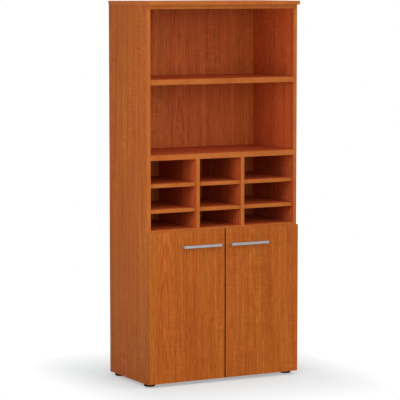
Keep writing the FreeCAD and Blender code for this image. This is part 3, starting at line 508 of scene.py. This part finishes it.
upright_boards = {
    "left_side": dict(SIDE_FINISH, shift=(0.10, 0.0, 0.3), core=0.62, bounce_light_axes=("+X",)),
    "right_side": dict(SIDE_FINISH, shift=(-0.32, 0.4, 1.4), core=0.40, bounce_light_axes=("-X",)),
    "left_divider": dict(DIVIDER_FINISH, shift=(0.71, 0.2, 2.3), core=0.5),
    "right_divider": dict(DIVIDER_FINISH, shift=(0.27, 0.8, 3.1), core=0.6),
    "back_panel": dict(BACK_FINISH, shift=(0.05, 1.5, -0.9), core=0.02, depth=0.02),
    "left_door": dict(turn=UPRIGHT_FRONT, shift=(0.0, 2.2, 0.0), core=-0.31, depth=0.012, lean=0.054),
    "right_door": dict(turn=UPRIGHT_FRONT, shift=(0.0, 3.1, 0.0), core=0.14, depth=0.015, lean=0.06),
}
for name, recipe in upright_boards.items():
    dress(name, cherry_board("cherry_" + name, **recipe))
print(len(upright_boards), "upright boards dressed")

# %% [markdown]
# ## Lying boards
# The lying boards are many and alike. One material for all would be shorter, but the same arch would then
# show on every shelf, so a loop gives each of them the next piece of the print. Only the overlay top is
# seen from outside. The others lie inside the cabinet and take the redder stops with painted bounce light.

# %% Lying boards
LYING = Matrix(((0, 1, 0), (0, 0, 1), (1, 0, 0)))
SHIFT_STEPS = (0.13, 0.4, 0.57)
FIRST_CORE = -0.6
CORE_STEP = 0.3
TOP_FINISH = dict(shift=(0.45, 0.2, 0.6), core=0.4, raw=("+Y",))

lying_boards = ["carcass_top", "upper_shelf", "pigeonhole_roof", "pigeonhole_floor", "cupboard_shelf",
                "bottom_panel"]
small_shelves = []
for row in ("upper", "lower"):
    for column in ("left", "middle", "right"):
        small_shelves.append(f"pigeonhole_shelf_{row}_{column}")
lying_boards += small_shelves
for index, name in enumerate(lying_boards):
    shift = tuple(step * index for step in SHIFT_STEPS)
    core = CORE_STEP * index + FIRST_CORE
    raw = ("+Y",) if name in ("carcass_top", "bottom_panel") else ()
    dress(name, cherry_board("cherry_" + name, LYING, shift, core=core, raw=raw, stops=BOUNCE_LIGHT_STOPS))
dress("top_panel", cherry_board("cherry_top_panel", LYING, **TOP_FINISH))
print(len(lying_boards) + 1, "lying boards dressed")

# %% [markdown]
# ## Edge bands
# The visible edges carry a plastic band in a plainer, lighter cherry. It has no arches, only faint
# streaks and clouds, so it gets a small recipe of its own and not the cherry group. On the two bands where
# the doors meet, the meeting faces carry painted shade: a dark brown that stands in for the shadow in the
# gap, which draws the dark line between the doors.

# %% Edge bands
BAND_CLOUDS = (9.0, 30.0, 9.0)
BAND_STREAKS = (60.0, 60.0, 60.0)
STREAK_ROUGHNESS = 0.65
STREAK_LIMITS = (0.3, 0.7)
CLOUD_SHARE = 0.55
BAND_STOPS = [(0.25, srgb(160, 79, 29)), (0.5, srgb(177, 96, 38)), (0.75, srgb(191, 112, 50))]
# Painted shade: the dark brown that stands in for the shadow in the gap between the doors
GAP_PAINTED_SHADE = srgb(92, 36, 15)
BAND_ROUGHNESS = (0.46, 0.56)
BAND_RELIEF = 0.1 * MM
BAND_STRENGTH = 0.4
BAND_SHINE = 0.08


def edge_band(name, painted_shade_axes=()):
    """A plain band; faces that look along the painted shade axes get painted shade, a dark brown for the
    shadow in the gap.
    """
    material, tree, surface, where = new_material(name)
    clouds = noise(tree, stretched(tree, where, BAND_CLOUDS), detail=FINE_DETAIL)
    streaks = noise(tree, stretched(tree, where, BAND_STREAKS), detail=FINE_DETAIL,
                    roughness=STREAK_ROUGHNESS)
    colour = ramp(tree, weighed(tree, clouds, streaks, CLOUD_SHARE), BAND_STOPS)
    if painted_shade_axes:
        colour = mixed(tree, facing_mask(tree, painted_shade_axes), colour, GAP_PAINTED_SHADE)
    roughness = remap(tree, streaks, *STREAK_LIMITS, *BAND_ROUGHNESS)
    coat(tree, surface, colour, roughness, streaks, BAND_RELIEF, BAND_STRENGTH)
    surface["Specular IOR Level"].default_value = BAND_SHINE
    return material


band_finish = edge_band("cherry_edge_band")
banded = fnmatch.filter(nodes, "*edge_bands")
for name in banded:
    dress(name, band_finish)
# The meeting faces of the door bands get painted shade for the shadow in the gap
dress("left_door_edge_bands", edge_band("left_meeting_edge_painted_shade", ("+X",)))
dress("right_door_edge_bands", edge_band("right_meeting_edge_painted_shade", ("-X",)))
print("bands on", banded)

# %% [markdown]
# ## Metals
# The bow handles are satin aluminium, brushed along their length. Hinges and screws are nickel-plated
# steel, the shelf pins are bronzed so that they don't shine in the dark cells, and the cams are die-cast
# zinc. One recipe serves them all: a noise that is long in one direction gives fine scratches, and a
# second one gives stains, because a perfectly even metal looks like paint.

# %% Metals
TONE_LIMITS = (0.3, 0.7)
SCRATCH_ROUGHNESS = 0.6
SCRATCH_SHARE = 0.6
STAIN_SCALE = 35.0
DULL_STEP = 0.07
BRIGHT_STEP = 0.05
METAL_STRENGTH = 0.35
STEEL_BRUSH = (300.0, 300.0, 60.0)
METALS = {
    "satin_aluminium": dict(dark=srgb(140, 141, 142), light=srgb(174, 175, 177), rough=0.44,
                            brush=(15.0, 900.0, 900.0), relief=0.08 * MM, metallic=0.6),
    "nickel_steel": dict(dark=srgb(176, 176, 174), light=srgb(208, 208, 205), rough=0.28,
                         brush=STEEL_BRUSH, relief=0.06 * MM),
    "bronzed_steel": dict(dark=srgb(104, 64, 38), light=srgb(138, 90, 56), rough=0.5,
                          brush=STEEL_BRUSH, relief=0.06 * MM),
    "cast_zinc": dict(dark=srgb(140, 143, 146), light=srgb(176, 178, 180), rough=0.5,
                      brush=(260.0, 260.0, 260.0), relief=0.1 * MM),
}


def two_tones(tree, value, dark, light):
    """A ramp between two colours over the middle of a noise's range."""
    return ramp(tree, value, list(zip(TONE_LIMITS, (dark, light))))


def metal(name, dark, light, rough, brush, relief, metallic=1.0):
    """A metal whose fine scratches run along the axis in which brush is smallest."""
    material, tree, surface, where = new_material(name)
    scratches = noise(tree, stretched(tree, where, brush), detail=FINE_DETAIL, roughness=SCRATCH_ROUGHNESS)
    stains = noise(tree, where, scale=STAIN_SCALE, detail=FINE_DETAIL)
    tone = weighed(tree, scratches, stains, SCRATCH_SHARE)
    roughness = remap(tree, tone, *TONE_LIMITS, rough + DULL_STEP, rough - BRIGHT_STEP)
    coat(tree, surface, two_tones(tree, tone, dark, light), roughness, scratches, relief, METAL_STRENGTH)
    surface["Metallic"].default_value = metallic
    return material


finishes = {name: metal(name, **recipe) for name, recipe in METALS.items()}
print("metals", list(finishes))

# %% [markdown]
# ## Plastics and dowels
# The feet are black plastic with a fine moulded grain, and the bumpers on the doors are soft grey-white
# plastic. The dowels are plain beech. None of them is large, so each gets two noises at most: one for the
# grain that a finger feels, and one for slow clouds.

# %% Plastics and dowels
CLOUD_SCALE = 25.0
GRAIN_STEP = 0.06
SPECKLE_SHARE = 0.5
FITTING_RELIEF = 0.2 * MM
FITTING_STRENGTH = 0.5
PLASTICS = {
    "black_foot_plastic": dict(dark=srgb(10, 9, 9), light=srgb(20, 19, 18), rough=0.6, grain=900.0,
                               shine=0.02),
    "clear_grey_bumper": dict(dark=srgb(190, 190, 186), light=srgb(212, 212, 208), rough=0.35, grain=500.0,
                              shine=0.4),
}
DOWEL_FIBRES = (40.0, 700.0, 700.0)
DOWEL_ROUGHNESS = (0.6, 0.72)


def plastic(name, dark, light, rough, grain, shine):
    material, tree, surface, where = new_material(name)
    speckle = noise(tree, where, scale=grain)
    clouds = noise(tree, where, scale=CLOUD_SCALE)
    colour = two_tones(tree, weighed(tree, speckle, clouds, SPECKLE_SHARE), dark, light)
    roughness = remap(tree, speckle, *TONE_LIMITS, rough - GRAIN_STEP, rough + GRAIN_STEP)
    coat(tree, surface, colour, roughness, speckle, FITTING_RELIEF, FITTING_STRENGTH)
    surface["Specular IOR Level"].default_value = shine
    return material


def dowel_wood(name):
    material, tree, surface, where = new_material(name)
    fibres = noise(tree, stretched(tree, where, DOWEL_FIBRES), detail=FINE_DETAIL)
    colour = two_tones(tree, fibres, srgb(186, 146, 100), srgb(222, 188, 142))
    roughness = remap(tree, fibres, *TONE_LIMITS, *DOWEL_ROUGHNESS)
    coat(tree, surface, colour, roughness, fibres, FITTING_RELIEF, FITTING_STRENGTH)
    return material


for name, recipe in PLASTICS.items():
    finishes[name] = plastic(name, **recipe)
finishes["beech_dowel"] = dowel_wood("beech_dowel")
print(len(finishes), "finishes for fittings")

# %% [markdown]
# ## Finishes of the fittings
# The fittings are many small nodes with regular names. Each could be dressed by its own name, but a table
# of name patterns is shorter and easier to check.

# %% Dress the fittings
FITTINGS = {
    "*_handle": "satin_aluminium",
    "hinge_*": "nickel_steel",
    "*_hinge_*": "nickel_steel",
    "foot_screws": "nickel_steel",
    "foot_sleeves": "nickel_steel",
    "cam_bolts": "nickel_steel",
    "cam_discs": "cast_zinc",
    "foot_front_*": "black_foot_plastic",
    "foot_rear_*": "black_foot_plastic",
    "*_bumpers": "clear_grey_bumper",
    "dowels": "beech_dowel",
}
for pattern, finish in FITTINGS.items():
    matching = fnmatch.filter(nodes, pattern)
    for name in matching:
        dress(name, finishes[finish])
    print(finish, "on", len(matching), "nodes like", pattern)

# %% [markdown]
# ## Shapes for small fittings
# The same screw is used many times, so it is made once by Geometry Nodes and set on points. Modelling
# every screw by hand would be slow, and a plain cylinder would look like a peg. These helpers make the
# few plain shapes that a screw or pin is cut from, each with sockets for its sizes.

# %% Plain shapes
def geometry_tree(name, sizes):
    """An empty tree with named sizes and a finish as inputs."""
    tree = bpy.data.node_groups.new(name, "GeometryNodeTree")
    tree.interface.new_socket("Geometry", in_out="INPUT", socket_type="NodeSocketGeometry")
    for label in sizes:
        tree.interface.new_socket(label, in_out="INPUT", socket_type="NodeSocketFloat")
    tree.interface.new_socket("Finish", in_out="INPUT", socket_type="NodeSocketMaterial")
    tree.interface.new_socket("Geometry", in_out="OUTPUT", socket_type="NodeSocketGeometry")
    return tree, add_node(tree, "NodeGroupInput").outputs, add_node(tree, "NodeGroupOutput").inputs


def moved(tree, mesh, z):
    """The mesh lifted along Z."""
    made = add_node(tree, "GeometryNodeTransform")
    lift = add_node(tree, "ShaderNodeCombineXYZ")
    feed(tree, lift.inputs["Z"], z)
    feed(tree, made.inputs["Geometry"], mesh)
    feed(tree, made.inputs["Translation"], lift.outputs[0])
    return made.outputs[0]


def rod(tree, radius, length, sides, lift_share):
    """A cylinder lifted by a share of its length: half stands on the seat, minus half hangs below it."""
    made = add_node(tree, "GeometryNodeMeshCylinder")
    made.inputs["Vertices"].default_value = sides
    feed(tree, made.inputs["Radius"], radius)
    feed(tree, made.inputs["Depth"], length)
    return moved(tree, made.outputs["Mesh"], calc(tree, "MULTIPLY", length, lift_share))


def block(tree, x, y, z):
    made = add_node(tree, "GeometryNodeMeshCube")
    size = add_node(tree, "ShaderNodeCombineXYZ")
    for socket, length in zip(size.inputs, (x, y, z)):
        feed(tree, socket, length)
    feed(tree, made.inputs["Size"], size.outputs[0])
    return made.outputs["Mesh"]


print("plain shapes ready")

# %% [markdown]
# ## Cutting and doming
# Real fasteners have domed ends and a recess. Both could be built point by point, but it is easier to do
# as a tool would: one shape is cut by another. Exact booleans are slow on large meshes and quick on
# shapes this small.

# %% Cut and dome
ROUND_SIDES = 28
BALL_RINGS = 20


def combined(tree, operation, *meshes):
    """Meshes joined by a boolean. For DIFFERENCE the first one is cut by the others."""
    made = add_node(tree, "GeometryNodeMeshBoolean", operation=operation, solver="EXACT")
    rest = meshes
    if operation == "DIFFERENCE":
        feed(tree, made.inputs["Mesh 1"], meshes[0])
        rest = meshes[1:]
    for mesh in rest:
        tree.links.new(mesh, made.inputs["Mesh 2"])
    return made.outputs["Mesh"]


def domed(tree, blank, height, ball_radius):
    """What the blank has in common with a ball whose top is at the given height."""
    ball = add_node(tree, "GeometryNodeMeshUVSphere")
    ball.inputs["Segments"].default_value = ROUND_SIDES
    ball.inputs["Rings"].default_value = BALL_RINGS
    feed(tree, ball.inputs["Radius"], ball_radius)
    dome = moved(tree, ball.outputs["Mesh"], calc(tree, "SUBTRACT", height, ball_radius))
    return combined(tree, "INTERSECT", blank, dome)


print("shape helpers ready")

# %% [markdown]
# ## How every tree ends
# All trees end alike: the piece is set on the points, turned to the way that each point looks, made real
# and given its finish. A loop could copy a mesh instead, but points with a direction are easier to place.
# The instances are made real because the export drops them.

# %% Set on points
def set_on_points(tree, given, result, piece):
    direction = add_node(tree, "GeometryNodeInputNamedAttribute", data_type="FLOAT_VECTOR")
    direction.inputs["Name"].default_value = "direction"
    turn = add_node(tree, "FunctionNodeAlignRotationToVector", axis="Z")
    feed(tree, turn.inputs["Vector"], direction.outputs["Attribute"])
    set_on = add_node(tree, "GeometryNodeInstanceOnPoints")
    feed(tree, set_on.inputs["Points"], given["Geometry"])
    feed(tree, set_on.inputs["Instance"], piece)
    feed(tree, set_on.inputs["Rotation"], turn.outputs["Rotation"])
    real = add_node(tree, "GeometryNodeRealizeInstances")
    feed(tree, real.inputs["Geometry"], set_on.outputs["Instances"])
    finish = add_node(tree, "GeometryNodeSetMaterial")
    feed(tree, finish.inputs["Geometry"], real.outputs[0])
    feed(tree, finish.inputs["Material"], given["Finish"])
    feed(tree, result["Geometry"], finish.outputs[0])


print("end of the trees ready")

# %% [markdown]
# ## Cross-head screw
# A pan head is where a cylinder and a large ball overlap; a cross is then cut out of it and a shank
# joined on. A spun profile would give the dome too, but the cross has to be cut either way. Its sizes are
# inputs, so one tree serves the hinge plates, the cups, the handles and the top.

# %% Screw tree
SHANK_SIDES = 16
HEAD_BALL_SHARE = 1.45
CROSS_REACH_SHARE = 1.15
CROSS_SLOT_SHARE = 0.24
CROSS_DEPTH_SHARE = 1.2


def build_screw_tree():
    """A pan-head screw whose seat is at the point and whose head looks along the direction."""
    sizes = ["Head Radius", "Head Height", "Shank Radius", "Shank Length"]
    tree, given, result = geometry_tree("cross_head_screw", sizes)
    radius, height = given["Head Radius"], given["Head Height"]
    ball_radius = calc(tree, "MULTIPLY", radius, HEAD_BALL_SHARE)
    head = domed(tree, rod(tree, radius, height, ROUND_SIDES, HALF), height, ball_radius)
    reach = calc(tree, "MULTIPLY", radius, CROSS_REACH_SHARE)
    slot = calc(tree, "MULTIPLY", radius, CROSS_SLOT_SHARE)
    cut_depth = calc(tree, "MULTIPLY", height, CROSS_DEPTH_SHARE)
    wide = moved(tree, block(tree, reach, slot, cut_depth), height)
    deep = moved(tree, block(tree, slot, reach, cut_depth), height)
    head = combined(tree, "DIFFERENCE", head, combined(tree, "UNION", wide, deep))
    shank = rod(tree, given["Shank Radius"], given["Shank Length"], SHANK_SIDES, -HALF)
    set_on_points(tree, given, result, combined(tree, "UNION", head, shank))
    return tree


screw_tree = build_screw_tree()
print("tree", screw_tree.name, "with", len(screw_tree.nodes), "nodes")

# %% [markdown]
# ## Shelf pin
# A shelf pin is a stub with a softly domed end and a thinner shank that sits in the wall. The screw's
# tree could be stretched to it, but a second small tree from the same shapes is easier to read.

# %% Pin tree
PIN_BALL_SHARE = 1.02


def build_pin_tree():
    """A shelf pin whose stub starts at the point and whose shank is in the wall behind it."""
    sizes = ["Stub Radius", "Stub Length", "Shank Radius", "Shank Length"]
    tree, given, result = geometry_tree("shelf_pin", sizes)
    length = given["Stub Length"]
    ball_radius = calc(tree, "MULTIPLY", length, PIN_BALL_SHARE)
    stub = domed(tree, rod(tree, given["Stub Radius"], length, ROUND_SIDES, HALF), length, ball_radius)
    shank = rod(tree, given["Shank Radius"], given["Shank Length"], SHANK_SIDES, -HALF)
    set_on_points(tree, given, result, combined(tree, "UNION", stub, shank))
    return tree


pin_tree = build_pin_tree()
print("tree", pin_tree.name, "with", len(pin_tree.nodes), "nodes")

# %% [markdown]
# ## From points to a plain mesh
# A tree only runs as a modifier on an object. So a small mesh of points is made, the sizes are set by
# each socket's identifier, and the evaluated result is kept as a plain mesh. The modifier and the points
# are then thrown away, because the exported model keeps only real geometry.

# %% Set pieces on places
def set_on_places(name, tree, places, body, replaced, sizes, finish):
    """places are (position, direction); the finished piece rides on a body and stands for a CAD node."""
    points = bpy.data.meshes.new(name + "_points")
    points.from_pydata([place for place, direction in places], [], [])
    attribute = points.attributes.new("direction", "FLOAT_VECTOR", "POINT")
    attribute.data.foreach_set("vector", [part for place, direction in places for part in direction])
    maker = bpy.data.objects.new(name + "_maker", points)
    bpy.context.scene.collection.objects.link(maker)
    modifier = maker.modifiers.new("set_on_points", "NODES")
    modifier.node_group = tree
    sockets = [item for item in tree.interface.items_tree if item.in_out == "INPUT"]
    identifiers = {socket.name: socket.identifier for socket in sockets}
    for label, millimetres in sizes.items():
        modifier[identifiers[label]] = millimetres * MM
    modifier[identifiers["Finish"]] = finishes[finish]
    evaluated = maker.evaluated_get(bpy.context.evaluated_depsgraph_get())
    mesh = bpy.data.meshes.new_from_object(evaluated)
    bpy.data.objects.remove(maker)
    mesh.name = name
    piece = bpy.data.objects.new(name, mesh)
    bpy.context.scene.collection.objects.link(piece)
    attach(piece, body)
    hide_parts(replaced)
    print(name, len(places), "places,", len(mesh.polygons), "faces")


def middle(node):
    low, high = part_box(node)
    return (low + high) / 2


print("ready to set pieces on places")

# %% [markdown]
# ## Screws of the cabinet
# Two screws hold each hinge plate to its side board, and six hold the overlay top from below. They could
# be set by hand, but then they would stay behind when a board moves. So their places come from the boxes
# of CAD nodes, and only a few distances from those boxes are written here.

# %% Hinge plate and top screws
# Screw sizes are in millimetres
PLATE_SCREW = {"Head Radius": 3.6, "Head Height": 1.8, "Shank Radius": 2.0, "Shank Length": 13.5}
TOP_SCREW = {"Head Radius": 4.0, "Head Height": 2.0, "Shank Radius": 2.0, "Shank Length": 29.0}
PANEL_IN_GROOVE = 6.5 * MM
PLATE_WING = 2 * MM
PLATE_HOLE_SETBACK = 17 * MM
PLATE_SPREAD = 16 * MM
HANDS = {"left": -1, "right": 1}

side_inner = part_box("back_panel")[1].x - PANEL_IN_GROOVE
plate_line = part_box("hinge_plate_left_lower")[0].y + PLATE_HOLE_SETBACK
hinge_levels = [middle(f"hinge_plate_left_{end}").z for end in ("lower", "upper")]
plate_places = []
for hand in HANDS.values():
    for level in hinge_levels:
        for offset in (-PLATE_SPREAD, PLATE_SPREAD):
            place = (hand * (side_inner - PLATE_WING), plate_line, level + offset)
            plate_places.append((place, (-hand, 0, 0)))
set_on_places("hinge_plate_cross_screws", screw_tree, plate_places, "cabinet", "hinge_plate_screws",
              PLATE_SCREW, "nickel_steel")

top_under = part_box("carcass_top")[0].z
top_low, top_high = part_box("top_screws")
top_rim = TOP_SCREW["Head Radius"] * MM
top_rows = (top_low.y + top_rim, top_high.y - top_rim)
top_columns = (top_low.x + top_rim, 0.0, top_high.x - top_rim)
top_places = [((x, y, top_under), (0, 0, -1)) for x in top_columns for y in top_rows]
set_on_places("top_panel_cross_screws", screw_tree, top_places, "cabinet", "top_screws",
              TOP_SCREW, "nickel_steel")

# %% [markdown]
# ## Screws of the doors
# Each hinge cup is held by two short screws in its flange, and each handle by two long ones through the
# door. One piece with all of them would be shorter, but they have to swing with their own door, so every
# door gets its own pieces.

# %% Cup and handle screws
# Screw sizes are in millimetres
CUP_SCREW = {"Head Radius": 3.0, "Head Height": 1.5, "Shank Radius": 1.7, "Shank Length": 12.5}
HANDLE_SCREW = {"Head Radius": 4.0, "Head Height": 2.2, "Shank Radius": 2.0, "Shank Length": 27.5}
CUP_SPREAD = 22.5 * MM
CUP_FLANGE = 1 * MM
HANDLE_LEG_MIDDLE = 4 * MM

door_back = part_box("left_door")[1].y
for side in HANDS:
    body = side + "_door"
    cup_x = middle(side + "_cup_screws").x
    cup_levels = [level + offset for level in hinge_levels for offset in (-CUP_SPREAD, CUP_SPREAD)]
    cup_places = [((cup_x, door_back + CUP_FLANGE, level), (0, 1, 0)) for level in cup_levels]
    set_on_places(side + "_cup_cross_screws", screw_tree, cup_places, body, side + "_cup_screws",
                  CUP_SCREW, "nickel_steel")
    handle_low, handle_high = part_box(side + "_handle")
    handle_level = middle(side + "_handle").z
    handle_ends = (handle_low.x + HANDLE_LEG_MIDDLE, handle_high.x - HANDLE_LEG_MIDDLE)
    handle_places = [((x, door_back, handle_level), (0, 1, 0)) for x in handle_ends]
    set_on_places(side + "_handle_cross_screws", screw_tree, handle_places, body, side + "_handle_screws",
                  HANDLE_SCREW, "nickel_steel")

# %% [markdown]
# ## Shelf pins
# The pins stand in both walls under each loose shelf. A CAD node holds many pins in one box, which gives
# their rows but not each pin's place. So the pins follow the shelves: the pin's top touches the shelf's
# underside, and its stub starts at the wall.

# %% Shelf pins
# Pin sizes are in millimetres
SHELF_PIN = {"Stub Radius": 3.5, "Stub Length": 8.0, "Shank Radius": 2.5, "Shank Length": 7.4}
SHELF_END_PLAY = 0.5 * MM

pin_radius = SHELF_PIN["Stub Radius"] * MM
pins_low, pins_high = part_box("shelf_pins")
pin_rows = (pins_low.y + pin_radius, pins_high.y - pin_radius)


def pins_under(shelves):
    places = []
    for shelf in shelves:
        low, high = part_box(shelf)
        level = low.z - pin_radius
        for y in pin_rows:
            places.append(((low.x - SHELF_END_PLAY, y, level), (1, 0, 0)))
            places.append(((high.x + SHELF_END_PLAY, y, level), (-1, 0, 0)))
    return places


set_on_places("shelf_support_pins", pin_tree, pins_under(["upper_shelf", "cupboard_shelf"]), "cabinet",
              "shelf_pins", SHELF_PIN, "bronzed_steel")
set_on_places("pigeonhole_support_pins", pin_tree, pins_under(small_shelves), "cabinet",
              "pigeonhole_pins", SHELF_PIN, "bronzed_steel")

# %% [markdown]
# ## What the camera sees
# The floor and the world have to look white and still light the cabinet softly. Stronger light would do
# that, but it would bleach the cabinet too. So both show plain white to the camera and to shiny surfaces,
# and a level of their own to the rays that only carry light.

# %% Rays and mixing
def seen_directly(tree):
    """One for rays from the camera, mirrors and glass, and zero for those that only carry light."""
    ray = add_node(tree, "ShaderNodeLightPath").outputs
    mirrored = calc(tree, "ADD", ray["Is Glossy Ray"], ray["Is Transmission Ray"])
    return calc(tree, "ADD", ray["Is Camera Ray"], mirrored, clamp=True)


def mix_shaders(tree, factor, first, second):
    made = add_node(tree, "ShaderNodeMixShader")
    for socket, source in zip(made.inputs, (factor, first, second)):
        feed(tree, socket, source)
    return made.outputs[0]


print("ray helpers ready")

# %% [markdown]
# ## Studio floor
# The cabinet stands on a white floor in a bright, soft studio. A curved backdrop is the usual way, but it
# would stand in the way of views from behind. So the floor is mostly paint near the cabinet, where it
# takes the shadow, and further out it turns into pure white for the camera and runs into the background.
# Light that it throws back onto the cabinet is held down, because little light reaches the real one from
# below.

# %% Floor
FLOOR_PAINT = (0.70, 0.75, 0.76, 1.0)
FLOOR_BOUNCE = (0.45, 0.45, 0.45, 1.0)
FLOOR_REACH = 14.0
CABINET_HALF = (0.4, 0.2, 0.0)
SIDEWAYS_STRETCH = (1.8, 1.0, 1.0)
WHITE_DISTANCE = 0.6
FADE_POWER = 1.2
NEAR_GLOW_SHARE = 0.37


def from_cabinet(tree):
    """How far a place on the floor is from the cabinet, counted longer sideways."""
    place = add_node(tree, "ShaderNodeTexCoord").outputs["Object"]
    steps = [
        ("ABSOLUTE", None),
        ("SUBTRACT", CABINET_HALF),
        ("MAXIMUM", (0.0, 0.0, 0.0)),
        ("MULTIPLY", SIDEWAYS_STRETCH),
    ]
    for operation, term in steps:
        step = add_node(tree, "ShaderNodeVectorMath", operation=operation)
        feed(tree, step.inputs[0], place)
        if term:
            step.inputs[1].default_value = term
        place = step.outputs["Vector"]
    length = add_node(tree, "ShaderNodeVectorMath", operation="LENGTH")
    feed(tree, length.inputs[0], place)
    return length.outputs["Value"]


def white_floor():
    material = bpy.data.materials.new("studio_floor")
    material.use_nodes = True
    tree = material.node_tree
    tree.nodes.clear()
    fade = calc(tree, "POWER", remap(tree, from_cabinet(tree), 0.0, WHITE_DISTANCE), FADE_POWER)
    glow_share = remap(tree, fade, 0.0, 1.0, NEAR_GLOW_SHARE, 1.0)
    bounced = add_node(tree, "ShaderNodeLightPath").outputs["Is Diffuse Ray"]
    paint = add_node(tree, "ShaderNodeBsdfDiffuse")
    feed(tree, paint.inputs["Color"], mixed(tree, bounced, FLOOR_PAINT, FLOOR_BOUNCE))
    glow = add_node(tree, "ShaderNodeEmission")
    factor = calc(tree, "MULTIPLY", glow_share, seen_directly(tree))
    output = add_node(tree, "ShaderNodeOutputMaterial")
    feed(tree, output.inputs["Surface"], mix_shaders(tree, factor, paint.outputs[0], glow.outputs[0]))
    return material


floor_mesh = bpy.data.meshes.new("floor")
corner_signs = ((-1, -1), (1, -1), (1, 1), (-1, 1))
corners = [(x * FLOOR_REACH, y * FLOOR_REACH, 0) for x, y in corner_signs]
floor_mesh.from_pydata(corners, [], [(0, 1, 2, 3)])
floor = bpy.data.objects.new("floor", floor_mesh)
floor_mesh.materials.append(white_floor())
bpy.context.scene.collection.objects.link(floor)
print("floor", 2 * FLOOR_REACH, "m square")

# %% [markdown]
# ## Softboxes
# Small bare lamps would throw hard shadows into the bays, so both lamps are soft. A large weak one stands
# far in front and lights the doors evenly. A smaller one at the left lights the left side and reaches the
# front of the right inner walls, while the pigeonholes stay dark inside.

# %% Softboxes
SOFTBOXES = {
    "front_softbox": dict(place=(0.2, -5.5, 1.6), target=(0.0, 0.0, 0.9), width=4.0, height=2.8,
                          power=47.0),
    "side_softbox": dict(place=(-1.9, -0.75, 1.3), target=(-0.4, 0.0, 1.1), width=0.8, height=0.8,
                         power=16.5),
}


def softbox(name, place, target, width, height, power):
    data = bpy.data.lights.new(name, "AREA")
    data.shape = "RECTANGLE"
    data.size = width
    data.size_y = height
    data.energy = power
    lamp = bpy.data.objects.new(name, data)
    lamp.location = place
    lamp.rotation_mode = "QUATERNION"
    lamp.rotation_quaternion = (Vector(target) - Vector(place)).to_track_quat("-Z", "Y")
    bpy.context.scene.collection.objects.link(lamp)


for name, recipe in SOFTBOXES.items():
    softbox(name, **recipe)
    print(name, recipe["power"], "W")

# %% [markdown]
# ## World
# Most of the light comes from all around, as from the white walls of a studio. A picture of a studio
# could give it, but a plain slope of brightness is enough here. It is brighter towards the front and the
# right, which shades the boards softly. The camera sees the world as plain white, and so do metals.

# %% World
BRIGHT_HEADING = (0.52, -0.48, 0.0)
WORLD_LEVEL = 0.785
WHITE = (1.0, 1.0, 1.0, 1.0)


def background(tree, strength):
    made = add_node(tree, "ShaderNodeBackground")
    made.inputs["Color"].default_value = WHITE
    feed(tree, made.inputs["Strength"], strength)
    return made.outputs[0]


def studio_world():
    world = bpy.data.worlds.new("studio_world")
    world.use_nodes = True
    tree = world.node_tree
    tree.nodes.clear()
    heading = add_node(tree, "ShaderNodeVectorMath", operation="DOT_PRODUCT")
    feed(tree, heading.inputs[0], add_node(tree, "ShaderNodeTexCoord").outputs["Generated"])
    heading.inputs[1].default_value = BRIGHT_HEADING
    soft = background(tree, calc(tree, "ADD", heading.outputs["Value"], WORLD_LEVEL))
    white = background(tree, 1.0)
    output = add_node(tree, "ShaderNodeOutputWorld")
    feed(tree, output.inputs["Surface"], mix_shaders(tree, seen_directly(tree), soft, white))
    return world


bpy.context.scene.world = studio_world()
print("world", bpy.context.scene.world.name)

# %% [markdown]
# ## Camera
# The picture was taken from the left with a long lens, a little above eye level. The camera's place, turn
# and lens were fitted to the cabinet's corners. It looks slightly down and uses no lens shift, so that
# other views stay centred.

# %% Camera
CAMERA_PLACE = (-4.6992, -8.68444, 1.86709)
CAMERA_YAW = math.radians(28.275)
CAMERA_PITCH = math.radians(5.934)
SENSOR = 36.0
FOCAL_SHARE = 5.2207
CLIP_END = 100.0

lens = bpy.data.cameras.new("studio_camera")
lens.sensor_width = SENSOR
lens.lens = SENSOR * FOCAL_SHARE
lens.clip_end = CLIP_END
camera = bpy.data.objects.new("studio_camera", lens)
camera.location = CAMERA_PLACE
level = math.cos(CAMERA_PITCH)
forward = Vector((math.sin(CAMERA_YAW) * level, math.cos(CAMERA_YAW) * level, -math.sin(CAMERA_PITCH)))
camera.rotation_mode = "QUATERNION"
camera.rotation_quaternion = forward.to_track_quat("-Z", "Y")
bpy.context.scene.collection.objects.link(camera)
bpy.context.scene.camera = camera
bpy.context.scene.view_settings.view_transform = "Standard"
print("camera at", CAMERA_PLACE, "lens", round(lens.lens, 1))
